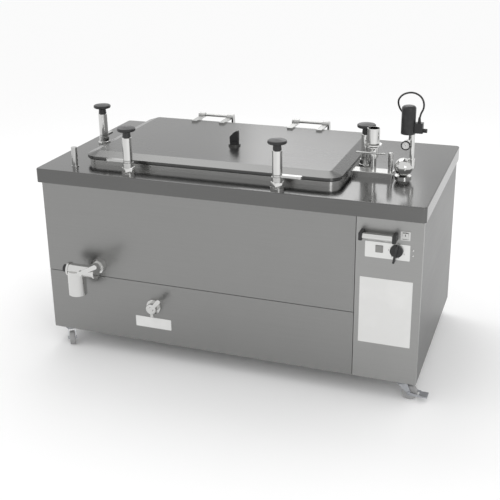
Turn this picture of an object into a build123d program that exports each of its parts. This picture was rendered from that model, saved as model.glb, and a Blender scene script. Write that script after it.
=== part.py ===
from build123d import *
from math import cos, pi, radians, sin, tan
import os

os.makedirs("parts", exist_ok=True)

# Millimetres. +Z is up, -Y is the front and +X is the right as seen from the front.
# The origin is on the floor, under the middle of the whole kettle's box.
# Positions named *_x and *_y are measured from the middle of the worktop.

# Clearances
running_gap = 0.06
seat_gap = 0.3
panel_gap = 2.5
hole_gap = 1.0

# Worktop and casing
worktop_length = 1700.0
worktop_depth = 900.0
worktop_height = 850.0
worktop_sheet = 3.0
apron_height = 62.0
worktop_corner = 16.0
worktop_edge = 5.0
overhang_front = 12.0
overhang_back = 10.0
overhang_left = 22.0
overhang_right = 8.0
casing_sheet = 2.0
casing_fold = 20.0
floor_gap = 86.0
panel_top_gap = 8.0
column_width = 263.0
upper_panel_height = 467.0

# Frame
frame_tube = 30.0
frame_wall = 3.0
frame_inset = 24.0

# Lid, and the width of worktop left free beside it
lid_margin_left = 170.0
lid_margin_right = 370.0
lid_margin_front = 124.0
lid_margin_back = 50.0
lid_corner = 60.0
lid_sheet = 2.5
lid_skirt = 12.0
lid_rise = 16.0
lid_border = 48.0
lid_gap = 5.0

# Vessel under the lid
coaming_inset = 10.0
coaming_height = 22.0
coaming_width = 30.0
vessel_sheet = 3.0
vessel_depth = 455.0
vessel_corner = 40.0
vessel_floor_radius = 30.0
gasket_width = 14.0

# Steam jacket, its insulation and heaters
jacket_space = 24.0
jacket_floor_space = 72.0
jacket_sheet = 3.0
jacket_top_drop = 90.0
insulation_thickness = 16.0
heater_end_gap = 90.0
heater_tube = 12.0
heater_width = 90.0
heater_count = 3
heater_pitch = 190.0
heater_flange_radius = 33.0
heater_flange_thickness = 8.0
heater_terminal_radius = 22.0
heater_terminal_length = 30.0

# Lid hinges
hinge_edge_gap = 25.0
hinge_rise = 65.0
hinge_offset = 245.0
hinge_span = 186.0
hinge_pin = 14.0
hinge_ear = 8.0
hinge_ear_depth = 38.0
hinge_foot = 5.0
hinge_barrel = 24.0
hinge_arm_width = 26.0
hinge_arm_reach = 118.0
hinge_arm_thickness = 8.0

# Vent in the middle of the lid
vent_right = 22.0
vent_forward = 65.0
vent_seat_radius = 27.0
vent_seat_height = 8.0
vent_spindle = 8.0
vent_hub_radius = 21.0
vent_hub_height = 10.0
vent_fin_length = 40.0
vent_fin_thickness = 15.0
vent_fin_low = 22.0
vent_fin_high = 52.0

# Clamps: a pillar, a claw that turns over the lid and a knob on a spacer sleeve
clamp_edge_gap = 53.0
clamp_side_y = -50.0
clamp_front_offset = 332.0
clamp_side_gap = 42.0
clamp_front_shift = 12.0
pillar_foot_radius = 29.0
pillar_foot_height = 9.0
pillar_radius = 23.0
pillar_top = 51.0
screw = 14.0
claw_thickness = 9.0
claw_hub_radius = 20.0
claw_width = 22.0
claw_bite = 21.0
claw_toe = 2.6
claw_toe_length = 14.0
sleeve_radius = 20.0
sleeve_length = 100.0
knob_hub_radius = 18.0
knob_hub_height = 27.0
knob_disc_radius = 39.0
knob_disc_height = 17.0
knob_crown = 4.0
screw_end_gap = 16.0

# Filler on the worktop; each *_in is measured from the worktop's right end
filler_in = 283.0
filler_y = -116.0
filler_base_length = 172.0
filler_base_depth = 62.0
filler_base_height = 25.0
filler_base_in = 281.0
filler_pipe = 30.0
filler_body_radius = 21.0
filler_body_drop = 30.0
filler_axis_height = 110.0
filler_bar_diameter = 8.0
filler_bar_length = 122.0
filler_flange_radius = 35.5
filler_flange_height = 5.0
filler_neck_height = 6.0
funnel_radius = 26.0
funnel_wall = 2.0
funnel_height = 66.0
level_pipe_in = 209.0
level_pipe_diameter = 20.0
level_pipe_height = 105.0

# Safety valve with the riser of the pressure switch
valve_in = 158.0
valve_y = -100.0
valve_foot_radius = 34.0
valve_foot_height = 8.0
valve_ball_radius = 38.0
valve_ball_height = 44.0
riser_in = 126.0
riser_diameter = 18.0
switch_in = 146.0
switch_radius = 29.0
switch_bottom = 187.0
switch_height = 116.0
switch_crown = 12.0
plug_block = 33.0
plug_depth = 27.0
plug_height = 42.0
plug_rise = 6.0
junction_in = 150.0
junction_rise = 141.0
junction_radius = 17.0
junction_depth = 30.0
gland_radius = 9.0
gland_length = 15.0
lead_diameter = 7.5
lead_loop_width = 92.0
lead_loop_height = 124.0
lead_loop_back = 94.0

# Vent posts of the jacket, on the left of the worktop
post_radius = 13.0
post_wall = 3.0
post_rear_in = 78.0
post_rear_y = 45.0
post_rear_height = 138.0
post_front_in = 153.0
post_front_edge_gap = 84.0
post_front_height = 86.0

# Drain valve; its outlet is measured from the lid's left end and the vessel's floor
outlet_in = 115.0
outlet_rise = 13.0
outlet_diameter = 50.0
outlet_wall = 3.0
outlet_reach = 36.0
union_radius = 33.0
drain_stand = 88.0
drain_body_radius = 27.0
drain_body_length = 136.0
spout_left = 72.0
spout_radius = 40.0
spout_wall = 3.0
spout_height = 112.0
spout_drop = 26.0
drain_stem_left = 36.0
drain_stem = 14.0
drain_stem_reach = 14.0
drain_lever_length = 88.0
drain_lever_width = 20.0
drain_lever_thickness = 6.0
drain_lever_angle = 28.0
drain_cap_length = 22.0
drain_cap_radius = 17.0

# Small tap on the lower panel, with its plate
tap_right = 255.0
tap_z = 266.0
tap_boss_radius = 33.0
tap_boss_height = 14.0
tap_body_radius = 24.0
tap_reach = 44.0
tap_stem = 10.0
tap_stem_reach = 10.0
tap_lever_length = 62.0
tap_lever_width = 18.0
tap_lever_thickness = 6.0
tap_lever_angle = 48.0
tap_nozzle_radius = 9.0
tap_nozzle_wall = 2.0
tap_nozzle_drop = 40.0
tap_plate_left = 10.0
tap_plate_z = 181.0
tap_plate_length = 171.0
tap_plate_height = 50.0
plate_thickness = 1.2

# Control column: *_in from the casing's right side, *_down from the worktop's face
handle_in = 171.0
handle_down = 131.0
handle_length = 146.0
handle_diameter = 26.0
handle_stand = 30.0
handle_end_width = 15.0
handle_end_height = 33.0
rocker_in = 69.0
rocker_down = 125.0
rocker_width = 22.0
rocker_height = 28.0
rocker_bezel = 8.0
rocker_proud = 5.0
rocker_depth = 30.0
rocker_back = 11.0
control_in = 137.0
control_down = 195.0
control_length = 176.0
control_height = 66.0
lamp_in = 169.0
lamp_down = 190.0
lamp_size = 30.0
lamp_proud = 5.0
knob_in = 101.0
knob_down = 190.0
knob_radius = 26.0
knob_height = 20.0
knob_grip = 9.0
knob_tail = 48.0
spindle = 6.0
spindle_length = 26.0
switch_body_size = 52.0
switch_body_depth = 45.0
info_in = 137.0
info_down = 458.0
info_width = 210.0
info_height = 286.0

# Castors
castor_inset = 60.0
castor_setback = 40.0
castor_plate_length = 84.0
castor_plate_width = 64.0
castor_plate_thickness = 5.0
castor_race_radius = 24.0
castor_race_height = 7.0
castor_trail = 32.0
castor_wheel_radius = 31.0
castor_wheel_width = 24.0
castor_tread = 4.0
castor_fork_wall = 3.5
castor_fork_gap = 1.5
castor_axle = 10.0
castor_kingpin = 10.0
pedal_reach = 74.0
pedal_thickness = 5.0
pedal_drop = 8.0
pedal_pivot = 8.0
castor_yaw = {"front_left": -58.0, "front_right": 0.0, "rear_left": 118.0, "rear_right": 76.0}

# Where the worktop's middle lies in the frame, from what stands proud of the worktop
body_front = -worktop_depth / 2 + overhang_front
body_back = worktop_depth / 2 - overhang_back
body_left = -worktop_length / 2 + overhang_left
body_right = worktop_length / 2 - overhang_right
worktop_right = worktop_length / 2
lid_length = worktop_length - lid_margin_left - lid_margin_right
lid_depth = worktop_depth - lid_margin_front - lid_margin_back
lid_x = (lid_margin_left - lid_margin_right) / 2
lid_y = (lid_margin_front - lid_margin_back) / 2
vent_x = lid_x + vent_right
vent_y = lid_y - vent_forward
hinge_y = worktop_depth / 2 - hinge_edge_gap
hinge_z = worktop_height + hinge_rise
clamp_front_y = -worktop_depth / 2 + clamp_edge_gap
filler_x = worktop_right - filler_in
filler_base_x = worktop_right - filler_base_in
level_pipe_x = worktop_right - level_pipe_in
valve_x = worktop_right - valve_in
riser_x = worktop_right - riser_in
switch_x = worktop_right - switch_in
junction_x = worktop_right - junction_in
junction_z = worktop_height + junction_rise
outlet_x = lid_x - lid_length / 2 + outlet_in
outlet_z = worktop_height + coaming_height - vessel_depth + outlet_rise
spout_x = outlet_x - spout_left
drain_stem_x = outlet_x - drain_stem_left
tap_x = outlet_x + tap_right
tap_plate_x = tap_x - tap_plate_left
handle_x = body_right - handle_in
handle_z = worktop_height - handle_down
rocker_x = body_right - rocker_in
rocker_z = worktop_height - rocker_down
control_x = body_right - control_in
control_z = worktop_height - control_down
lamp_x = body_right - lamp_in
lamp_z = worktop_height - lamp_down
knob_x = body_right - knob_in
knob_z = worktop_height - knob_down
info_x = body_right - info_in
info_z = worktop_height - info_down
spout_y = body_front - drain_stand
front_reach = -worktop_depth / 2 - (spout_y - spout_radius)
castor_right_x = body_right - castor_inset
castor_left_x = body_left + castor_inset
castor_front_y = body_front + castor_setback
castor_back_y = body_back - castor_setback
right_reach = castor_right_x + castor_trail + pedal_reach - worktop_length / 2
table_x = -right_reach / 2
table_y = front_reach / 2


def at(x, y, z=0.0):
    return (table_x + x, table_y + y, z)


def level(z):
    return Plane(origin=at(0, 0, z), x_dir=(1, 0, 0), z_dir=(0, 0, 1))


def facing_front(y):
    """A plane whose sketch has X to the right and Y up, and whose normal is -Y."""
    return Plane(origin=at(0, y), x_dir=(1, 0, 0), z_dir=(0, -1, 0))


def across(x, y=0.0, z=0.0):
    """A plane whose sketch has X along the depth and Y up, and whose normal is +X."""
    return Plane(origin=at(x, y, z), x_dir=(0, 1, 0), z_dir=(1, 0, 0))


def write(part, node):
    part.label = node
    export_step(part, f"parts/{node}.step")


# Levels and outlines that several pieces share
apron_bottom = worktop_height - apron_height
worktop_inside = worktop_height - worktop_sheet
panel_top = worktop_inside - panel_top_gap
seam_x = body_right - column_width
seam_z = panel_top - upper_panel_height
coaming_length = lid_length - 2 * coaming_inset
coaming_depth = lid_depth - 2 * coaming_inset
coaming_corner = lid_corner - coaming_inset
coaming_top = worktop_height + coaming_height
vessel_length = coaming_length - 2 * coaming_width
vessel_width = coaming_depth - 2 * coaming_width
vessel_bottom = coaming_top - vessel_depth
opening_length = vessel_length + 2 * hole_gap
opening_depth = vessel_width + 2 * hole_gap
lid_bottom = coaming_top + lid_gap
lid_edge = lid_bottom + lid_skirt
lid_top = lid_edge + lid_rise
lid_front = lid_y - lid_depth / 2
lid_back = lid_y + lid_depth / 2
lid_left = lid_x - lid_length / 2
lid_right = lid_x + lid_length / 2
vessel_front = lid_y - vessel_width / 2
heater_length = vessel_length - 2 * heater_end_gap

# Worktop: a deep-edged sheet with the opening for the vessel
with BuildPart() as worktop:
    with BuildSketch(level(apron_bottom)):
        RectangleRounded(worktop_length, worktop_depth, worktop_corner)
    extrude(amount=apron_height)
    fillet(worktop.edges().group_by(Axis.Z)[-1], worktop_edge)
    with BuildSketch(level(apron_bottom)):
        RectangleRounded(
            worktop_length - 2 * worktop_sheet,
            worktop_depth - 2 * worktop_sheet,
            worktop_corner - worktop_sheet,
        )
    extrude(amount=apron_height - worktop_sheet, mode=Mode.SUBTRACT)
    with BuildSketch(level(worktop_inside)):
        with Locations((lid_x, lid_y)):
            RectangleRounded(opening_length, opening_depth, vessel_corner + hole_gap)
    extrude(amount=worktop_sheet, mode=Mode.SUBTRACT)
write(worktop.part, "worktop")


# Front panels: folded trays side by side, with a narrow seam between them
def front_tray(x0, x1, z0, z1, holes=()):
    """A folded sheet on the front, open to the back; each hole is (x, z, width, height)."""
    with BuildPart() as tray:
        with BuildSketch(facing_front(body_front + casing_fold)):
            with Locations(((x0 + x1) / 2, (z0 + z1) / 2)):
                Rectangle(x1 - x0, z1 - z0)
        extrude(amount=casing_fold)
        with BuildSketch(facing_front(body_front + casing_fold)):
            with Locations(((x0 + x1) / 2, (z0 + z1) / 2)):
                Rectangle(x1 - x0 - 2 * casing_sheet, z1 - z0 - 2 * casing_sheet)
        extrude(amount=casing_fold - casing_sheet, mode=Mode.SUBTRACT)
        for x, z, width, height in holes:
            with BuildSketch(facing_front(body_front + casing_sheet)):
                with Locations((x, z)):
                    if height:
                        Rectangle(width, height)
                    else:
                        Circle(width / 2)
            extrude(amount=casing_sheet, mode=Mode.SUBTRACT)
    return tray.part


panel_left_end = seam_x - panel_gap / 2
column_start = seam_x + panel_gap / 2
outlet_hole = outlet_diameter + 4 * hole_gap
panel_base = floor_gap + casing_sheet
write(
    front_tray(
        body_left,
        panel_left_end,
        seam_z + panel_gap / 2,
        panel_top,
        holes=[(outlet_x, outlet_z, outlet_hole, 0)],
    ),
    "front_panel_upper",
)
write(
    front_tray(body_left, panel_left_end, panel_base, seam_z - panel_gap / 2),
    "front_panel_lower",
)
write(
    front_tray(
        column_start,
        body_right,
        panel_base,
        panel_top,
        holes=[
            (rocker_x, rocker_z, rocker_width + 2 * seat_gap, rocker_height + 2 * seat_gap),
            (knob_x, knob_z, spindle + 2 * hole_gap, 0),
        ],
    ),
    "column_panel",
)

# Side panels, behind the folds of the front panels
side_start = body_front + casing_fold + panel_gap / 2
with BuildPart() as side_panels:
    for x, fold in ((body_left, 1), (body_right, -1)):
        with Locations(at(x + fold * casing_sheet / 2, (side_start + body_back) / 2, (panel_base + panel_top) / 2)):
            Box(casing_sheet, body_back - side_start, panel_top - panel_base)
        for z, up in ((panel_base, 1), (panel_top, -1)):
            with Locations(
                at(x + fold * casing_fold / 2, (side_start + body_back) / 2, z + up * casing_sheet / 2)
            ):
                Box(casing_fold, body_back - side_start, casing_sheet)
write(side_panels.part, "side_panels")

# Back panel between the side panels, with rows of cooling slots
back_left = body_left + casing_sheet + panel_gap / 2
back_right = body_right - casing_sheet - panel_gap / 2
back_low = panel_base + casing_sheet + panel_gap / 2
back_high = panel_top - casing_sheet - panel_gap / 2
slot_length = 60.0
slot_width = 6.0
slot_rise = 180.0
with BuildPart() as back_panel:
    with Locations(
        at((back_left + back_right) / 2, body_back - casing_sheet / 2, (back_low + back_high) / 2)
    ):
        Box(back_right - back_left, casing_sheet, back_high - back_low)
    with BuildSketch(facing_front(body_back)):
        with Locations((seam_x + column_width / 2, floor_gap + slot_rise)):
            with GridLocations(slot_length + slot_width, 4 * slot_width, 2, 5):
                SlotOverall(slot_length, slot_width)
    extrude(amount=casing_sheet, mode=Mode.SUBTRACT)
write(back_panel.part, "back_panel")

# Bottom panel on which the frame stands
with BuildPart() as bottom_panel:
    with BuildSketch(level(floor_gap)):
        with Locations(((body_left + body_right) / 2, (body_front + body_back) / 2)):
            Rectangle(body_right - body_left, body_back - body_front)
    extrude(amount=casing_sheet)
write(bottom_panel.part, "bottom_panel")


# Frame of square tubes, welded at the corners
def tube(x, y, z, length, direction):
    """A square tube that starts at its low corner and runs along X, Y or Z."""
    sizes = {"x": (length, frame_tube, frame_tube), "y": (frame_tube, length, frame_tube)}
    sizes["z"] = (frame_tube, frame_tube, length)
    bore = frame_tube - 2 * frame_wall
    bores = {"x": (length, bore, bore), "y": (bore, length, bore), "z": (bore, bore, length)}
    middle = [low + size / 2 for low, size in zip((x, y, z), sizes[direction])]
    with Locations(at(*middle)):
        Box(*sizes[direction])
        Box(*bores[direction], mode=Mode.SUBTRACT)


frame_left = body_left + frame_inset
frame_right = body_right - frame_inset
frame_front = body_front + frame_inset
frame_back = body_back - casing_sheet
frame_low = panel_base + casing_sheet + seat_gap
frame_high = worktop_inside - frame_tube
post_length = frame_high - frame_low - frame_tube
post_xs = (frame_left, seam_x - frame_tube / 2, frame_right - frame_tube)
with BuildPart() as base_frame:
    for z in (frame_low, frame_high):
        for y in (frame_front, frame_back - frame_tube):
            tube(frame_left, y, z, frame_right - frame_left, "x")
    for z in (frame_low, frame_high):
        for x in (frame_left, frame_right - frame_tube):
            tube(x, frame_front + frame_tube, z, frame_back - frame_front - 2 * frame_tube, "y")
    for x in post_xs:
        for y in (frame_front, frame_back - frame_tube):
            tube(x, y, frame_low + frame_tube, post_length, "z")
    for x in (frame_left, frame_right - frame_tube):
        for y in (frame_front, frame_back - frame_tube):
            with Locations(at(x + frame_tube / 2, y + frame_tube / 2, (panel_base + frame_low) / 2)):
                Box(frame_tube, frame_tube, frame_low - panel_base)
write(base_frame.part, "base_frame")

# Vessel: a deep tub whose rim turns out and down to stand on the worktop as a coaming
vessel_stub_end = body_front - outlet_reach
with BuildPart() as vessel:
    with BuildSketch(level(vessel_bottom)):
        with Locations((lid_x, lid_y)):
            RectangleRounded(vessel_length, vessel_width, vessel_corner)
    extrude(amount=vessel_depth)
    fillet(vessel.edges().group_by(Axis.Z)[0], vessel_floor_radius)
    with BuildSketch(level(worktop_height)):
        with Locations((lid_x, lid_y)):
            RectangleRounded(coaming_length, coaming_depth, coaming_corner)
            RectangleRounded(
                coaming_length - 2 * vessel_sheet,
                coaming_depth - 2 * vessel_sheet,
                coaming_corner - vessel_sheet,
                mode=Mode.SUBTRACT,
            )
    extrude(amount=coaming_height)
    with BuildSketch(level(coaming_top - vessel_sheet)):
        with Locations((lid_x, lid_y)):
            RectangleRounded(coaming_length, coaming_depth, coaming_corner)
    extrude(amount=vessel_sheet)
    with BuildSketch(facing_front(vessel_front + vessel_sheet)):
        with Locations((outlet_x, outlet_z)):
            Circle(outlet_diameter / 2)
    extrude(amount=vessel_front + vessel_sheet - vessel_stub_end)
    inner_bottom = vessel_bottom + vessel_sheet
    with BuildPart(mode=Mode.PRIVATE) as vessel_space:
        with BuildSketch(level(inner_bottom)):
            with Locations((lid_x, lid_y)):
                RectangleRounded(
                    vessel_length - 2 * vessel_sheet,
                    vessel_width - 2 * vessel_sheet,
                    vessel_corner - vessel_sheet,
                )
        extrude(amount=vessel_depth - vessel_sheet)
        fillet(vessel_space.edges().group_by(Axis.Z)[0], vessel_floor_radius - vessel_sheet)
    add(vessel_space.part, mode=Mode.SUBTRACT)
    with BuildSketch(facing_front(vessel_front + vessel_floor_radius)):
        with Locations((outlet_x, outlet_z)):
            Circle(outlet_diameter / 2 - outlet_wall)
    extrude(amount=vessel_front + vessel_floor_radius - vessel_stub_end, mode=Mode.SUBTRACT)
write(vessel.part, "vessel")


# Steam jacket and insulation: two boxes, one outside the other, open at the top
def jacket_box(space, floor_space, wall, top, radius):
    """A shell around the vessel that leaves `space` beside it and `floor_space` below it."""
    length = vessel_length + 2 * (space + wall)
    width = vessel_width + 2 * (space + wall)
    bottom = vessel_bottom - floor_space - wall
    with BuildPart() as shell:
        with BuildSketch(level(bottom)):
            with Locations((lid_x, lid_y)):
                RectangleRounded(length, width, radius + wall)
        extrude(amount=top - bottom)
        with BuildSketch(level(bottom + wall)):
            with Locations((lid_x, lid_y)):
                RectangleRounded(length - 2 * wall, width - 2 * wall, radius)
        extrude(amount=top - bottom - wall, mode=Mode.SUBTRACT)
        with BuildSketch(facing_front(vessel_front)):
            with Locations((outlet_x, outlet_z)):
                Circle(outlet_diameter / 2 + hole_gap)
        extrude(amount=space + 2 * wall, mode=Mode.SUBTRACT)
    return shell


jacket_top = coaming_top - jacket_top_drop
jacket_corner = vessel_corner + jacket_space
jacket_right = lid_x + vessel_length / 2 + jacket_space + jacket_sheet
heater_z = vessel_bottom - jacket_floor_space / 2
jacket = jacket_box(jacket_space, jacket_floor_space, jacket_sheet, jacket_top, jacket_corner)
with BuildPart() as jacket_shell:
    add(jacket.part)
    with BuildSketch(level(jacket_top)):
        with Locations((lid_x, lid_y)):
            RectangleRounded(
                vessel_length + 2 * (jacket_space + jacket_sheet),
                vessel_width + 2 * (jacket_space + jacket_sheet),
                jacket_corner + jacket_sheet,
            )
            RectangleRounded(vessel_length, vessel_width, vessel_corner, mode=Mode.SUBTRACT)
    extrude(amount=jacket_sheet)
    with BuildSketch(across(jacket_right - 2 * jacket_sheet, lid_y, heater_z)):
        with GridLocations(heater_pitch, 0, heater_count, 1):
            Circle(heater_tube + heater_width / 8)
    extrude(amount=3 * jacket_sheet, mode=Mode.SUBTRACT)
write(jacket_shell.part, "jacket_shell")

insulation_space = jacket_space + jacket_sheet
insulation_floor = jacket_floor_space + jacket_sheet
insulation = jacket_box(
    insulation_space,
    insulation_floor,
    insulation_thickness,
    jacket_top + jacket_sheet,
    jacket_corner + jacket_sheet,
)
with BuildPart() as insulation_blanket:
    add(insulation.part)
    with BuildSketch(across(jacket_right, lid_y, heater_z)):
        with GridLocations(heater_pitch, 0, heater_count, 1):
            Circle(heater_flange_radius + hole_gap)
    extrude(amount=2 * insulation_thickness, mode=Mode.SUBTRACT)
write(insulation_blanket.part, "insulation")

# Heating elements: hairpin tubes, each in a flange on the right wall of the jacket
with BuildPart() as heating_elements:
    hairpin_half = (heater_tube + heater_width / 8) / 2
    for index in range(heater_count):
        y = lid_y + (index - (heater_count - 1) / 2) * heater_pitch
        with BuildPart(mode=Mode.PRIVATE) as hairpin:
            with BuildLine(level(heater_z)) as hairpin_line:
                far_end = jacket_right - heater_length
                Line((jacket_right, y - hairpin_half), (far_end, y - hairpin_half))
                ThreePointArc(
                    (far_end, y - hairpin_half),
                    (far_end - hairpin_half, y),
                    (far_end, y + hairpin_half),
                )
                Line((far_end, y + hairpin_half), (jacket_right, y + hairpin_half))
            with BuildSketch(across(jacket_right, y - hairpin_half, heater_z)):
                Circle(heater_tube / 2)
            sweep(path=hairpin_line.wires()[0])
        add(hairpin.part)
        with BuildSketch(across(jacket_right, y, heater_z)):
            Circle(heater_flange_radius)
        extrude(amount=heater_flange_thickness)
        with BuildSketch(across(jacket_right + heater_flange_thickness, y, heater_z)):
            Circle(heater_terminal_radius)
        extrude(amount=heater_terminal_length)
write(heating_elements.part, "heating_elements")


# Lid: a shallow folded tray with a sloping border
def lid_form(inset, drop):
    """The lid's solid form, made smaller by `inset` on every side and lowered by `drop`."""
    with BuildPart() as form:
        with BuildSketch(level(lid_bottom)):
            with Locations((lid_x, lid_y)):
                RectangleRounded(lid_length - 2 * inset, lid_depth - 2 * inset, lid_corner - inset)
        extrude(amount=lid_skirt - drop)
        for height, border in ((lid_edge - drop, inset), (lid_top - drop, inset + lid_border)):
            with BuildSketch(level(height)):
                with Locations((lid_x, lid_y)):
                    RectangleRounded(
                        lid_length - 2 * border, lid_depth - 2 * border, lid_corner + 1 - border
                    )
        loft()
    return form.part


vent_hole_radius = vent_seat_radius - 8 * lid_sheet / 2
with BuildPart() as lid:
    add(lid_form(0, 0))
    add(lid_form(lid_sheet, lid_sheet), mode=Mode.SUBTRACT)
    with BuildSketch(level(lid_top)):
        with Locations((vent_x, vent_y)):
            Circle(vent_seat_radius)
    extrude(amount=vent_seat_height)
    with BuildSketch(level(lid_edge)):
        with Locations((vent_x, vent_y)):
            Circle(vent_spindle / 2 + running_gap)
            with PolarLocations(vent_hub_radius - vent_spindle, 4):
                Circle(vent_spindle / 2)
    extrude(amount=lid_rise + vent_seat_height, mode=Mode.SUBTRACT)
write(lid.part, "lid")

# Gasket in the lid's skirt; the lid presses it on the coaming
gasket_outer_length = lid_length - 2 * lid_sheet
gasket_outer_depth = lid_depth - 2 * lid_sheet
gasket_corner = lid_corner - lid_sheet
with BuildPart() as gasket:
    with BuildSketch(level(coaming_top + seat_gap)):
        with Locations((lid_x, lid_y)):
            RectangleRounded(gasket_outer_length, gasket_outer_depth, gasket_corner)
            RectangleRounded(
                gasket_outer_length - 2 * gasket_width - 2 * coaming_inset,
                gasket_outer_depth - 2 * gasket_width - 2 * coaming_inset,
                gasket_corner - coaming_inset - gasket_width,
                mode=Mode.SUBTRACT,
            )
    extrude(amount=lid_edge - lid_sheet - coaming_top - seat_gap)
    with BuildSketch(level(coaming_top + seat_gap)):
        with Locations((lid_x, lid_y)):
            RectangleRounded(gasket_outer_length + 2 * lid_sheet, gasket_outer_depth + 2 * lid_sheet, lid_corner)
            RectangleRounded(
                gasket_outer_length - 2 * lid_sheet,
                gasket_outer_depth - 2 * lid_sheet,
                gasket_corner - lid_sheet,
                mode=Mode.SUBTRACT,
            )
    extrude(amount=lid_gap - 2 * seat_gap, mode=Mode.SUBTRACT)
write(gasket.part, "lid_gasket")

# Vent knob: a fin whose top slopes, on a spindle through the lid
vent_top = lid_top + vent_seat_height
with BuildPart() as vent_knob:
    with BuildSketch(level(vent_top + seat_gap)):
        with Locations((vent_x, vent_y)):
            Circle(vent_hub_radius)
    extrude(amount=vent_hub_height)
    fin_plane = Plane(
        origin=at(vent_x, vent_y - vent_fin_thickness / 2, vent_top + seat_gap + vent_hub_height),
        x_dir=(1, 0, 0),
        z_dir=(0, -1, 0),
    )
    with BuildSketch(fin_plane):
        with BuildLine():
            Polyline(
                (-vent_fin_length / 2, 0),
                (-vent_fin_length / 2, vent_fin_low),
                (0, vent_fin_high - vent_hub_height),
                (vent_fin_length / 2, vent_fin_high),
                (vent_fin_length / 2, 0),
                close=True,
            )
        make_face()
    extrude(amount=-vent_fin_thickness)
    fin_edges = vent_knob.edges().filter_by(Axis.Y).group_by(Axis.Z)[1:]
    fillet([edge for group in fin_edges for edge in group], 4)
    with BuildSketch(level(lid_edge)):
        with Locations((vent_x, vent_y)):
            Circle(vent_spindle / 2)
    extrude(amount=vent_top + seat_gap - lid_edge)
write(vent_knob.part, "vent_knob")


# Lid hinges: fixed ears with a pin, and arms on the lid with a barrel on the pin
hinge_xs = (lid_x - hinge_offset, lid_x + hinge_offset)
with BuildPart() as hinge_brackets:
    for x in hinge_xs:
        with BuildSketch(level(worktop_height)):
            with Locations((x, hinge_y)):
                Rectangle(hinge_span, hinge_ear_depth)
        extrude(amount=hinge_foot)
        for side in (-1, 1):
            ear_x = x + side * (hinge_span / 2 - hinge_ear / 2) - hinge_ear / 2
            with BuildSketch(across(ear_x, hinge_y, worktop_height)):
                ear_rise = hinge_z - worktop_height
                with BuildLine():
                    Polyline(
                        (-hinge_ear_depth / 2, 0),
                        (-hinge_barrel / 2, ear_rise),
                        (hinge_barrel / 2, ear_rise),
                        (hinge_ear_depth / 2, 0),
                        close=True,
                    )
                make_face()
                with Locations((0, ear_rise)):
                    Circle(hinge_barrel / 2)
            extrude(amount=hinge_ear)
        with BuildSketch(across(x - hinge_span / 2, hinge_y, hinge_z)):
            Circle(hinge_pin / 2)
        extrude(amount=hinge_span)
write(hinge_brackets.part, "hinge_brackets")

arm_start = hinge_span / 2 - hinge_ear - hinge_arm_width - seat_gap
with BuildPart() as lid_hinge_arms:
    for x in hinge_xs:
        for low in (x - arm_start - hinge_arm_width, x + arm_start):
            with BuildSketch(across(low, hinge_y, hinge_z)):
                Circle(hinge_barrel / 2)
                arm_under = lid_top - hinge_z
                with Locations((-hinge_arm_reach / 2, arm_under + hinge_arm_thickness / 2)):
                    Rectangle(hinge_arm_reach, hinge_arm_thickness)
                Circle(hinge_pin / 2 + running_gap, mode=Mode.SUBTRACT)
            extrude(amount=hinge_arm_width)
write(lid_hinge_arms.part, "lid_hinge_arms")

# Clamps: where each stands, and the way from its pillar to the lid
clamp_reach_front = lid_front - clamp_front_y + claw_bite
clamp_reach_side = clamp_side_gap + claw_bite
clamp_middle_x = lid_x + clamp_front_shift
clamps = {
    "front_left": (clamp_middle_x - clamp_front_offset, clamp_front_y, 180.0, clamp_reach_front),
    "front_right": (clamp_middle_x + clamp_front_offset, clamp_front_y, 0.0, clamp_reach_front),
    "left": (lid_left - clamp_side_gap, clamp_side_y, 90.0, clamp_reach_side),
    "right": (lid_right + clamp_side_gap, clamp_side_y, 90.0, clamp_reach_side),
}
claw_bottom = worktop_height + pillar_top + seat_gap
claw_top = claw_bottom + claw_thickness
sleeve_bottom = claw_top + seat_gap
sleeve_top = sleeve_bottom + sleeve_length
knob_bottom = sleeve_top + seat_gap
knob_top = knob_bottom + knob_hub_height + knob_disc_height
screw_top = knob_top - screw_end_gap

with BuildPart() as clamp_pillars:
    for x, y, angle, reach in clamps.values():
        with BuildSketch(level(worktop_height)):
            with Locations((x, y)):
                Circle(pillar_foot_radius)
        extrude(amount=pillar_foot_height)
        with BuildSketch(level(worktop_height + pillar_foot_height)):
            with Locations((x, y)):
                Circle(pillar_radius)
        extrude(amount=pillar_top - pillar_foot_height)
        with BuildSketch(level(worktop_height + pillar_top)):
            with Locations((x, y)):
                Circle(screw / 2)
        extrude(amount=screw_top - worktop_height - pillar_top)
write(clamp_pillars.part, "clamp_pillars")

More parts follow.
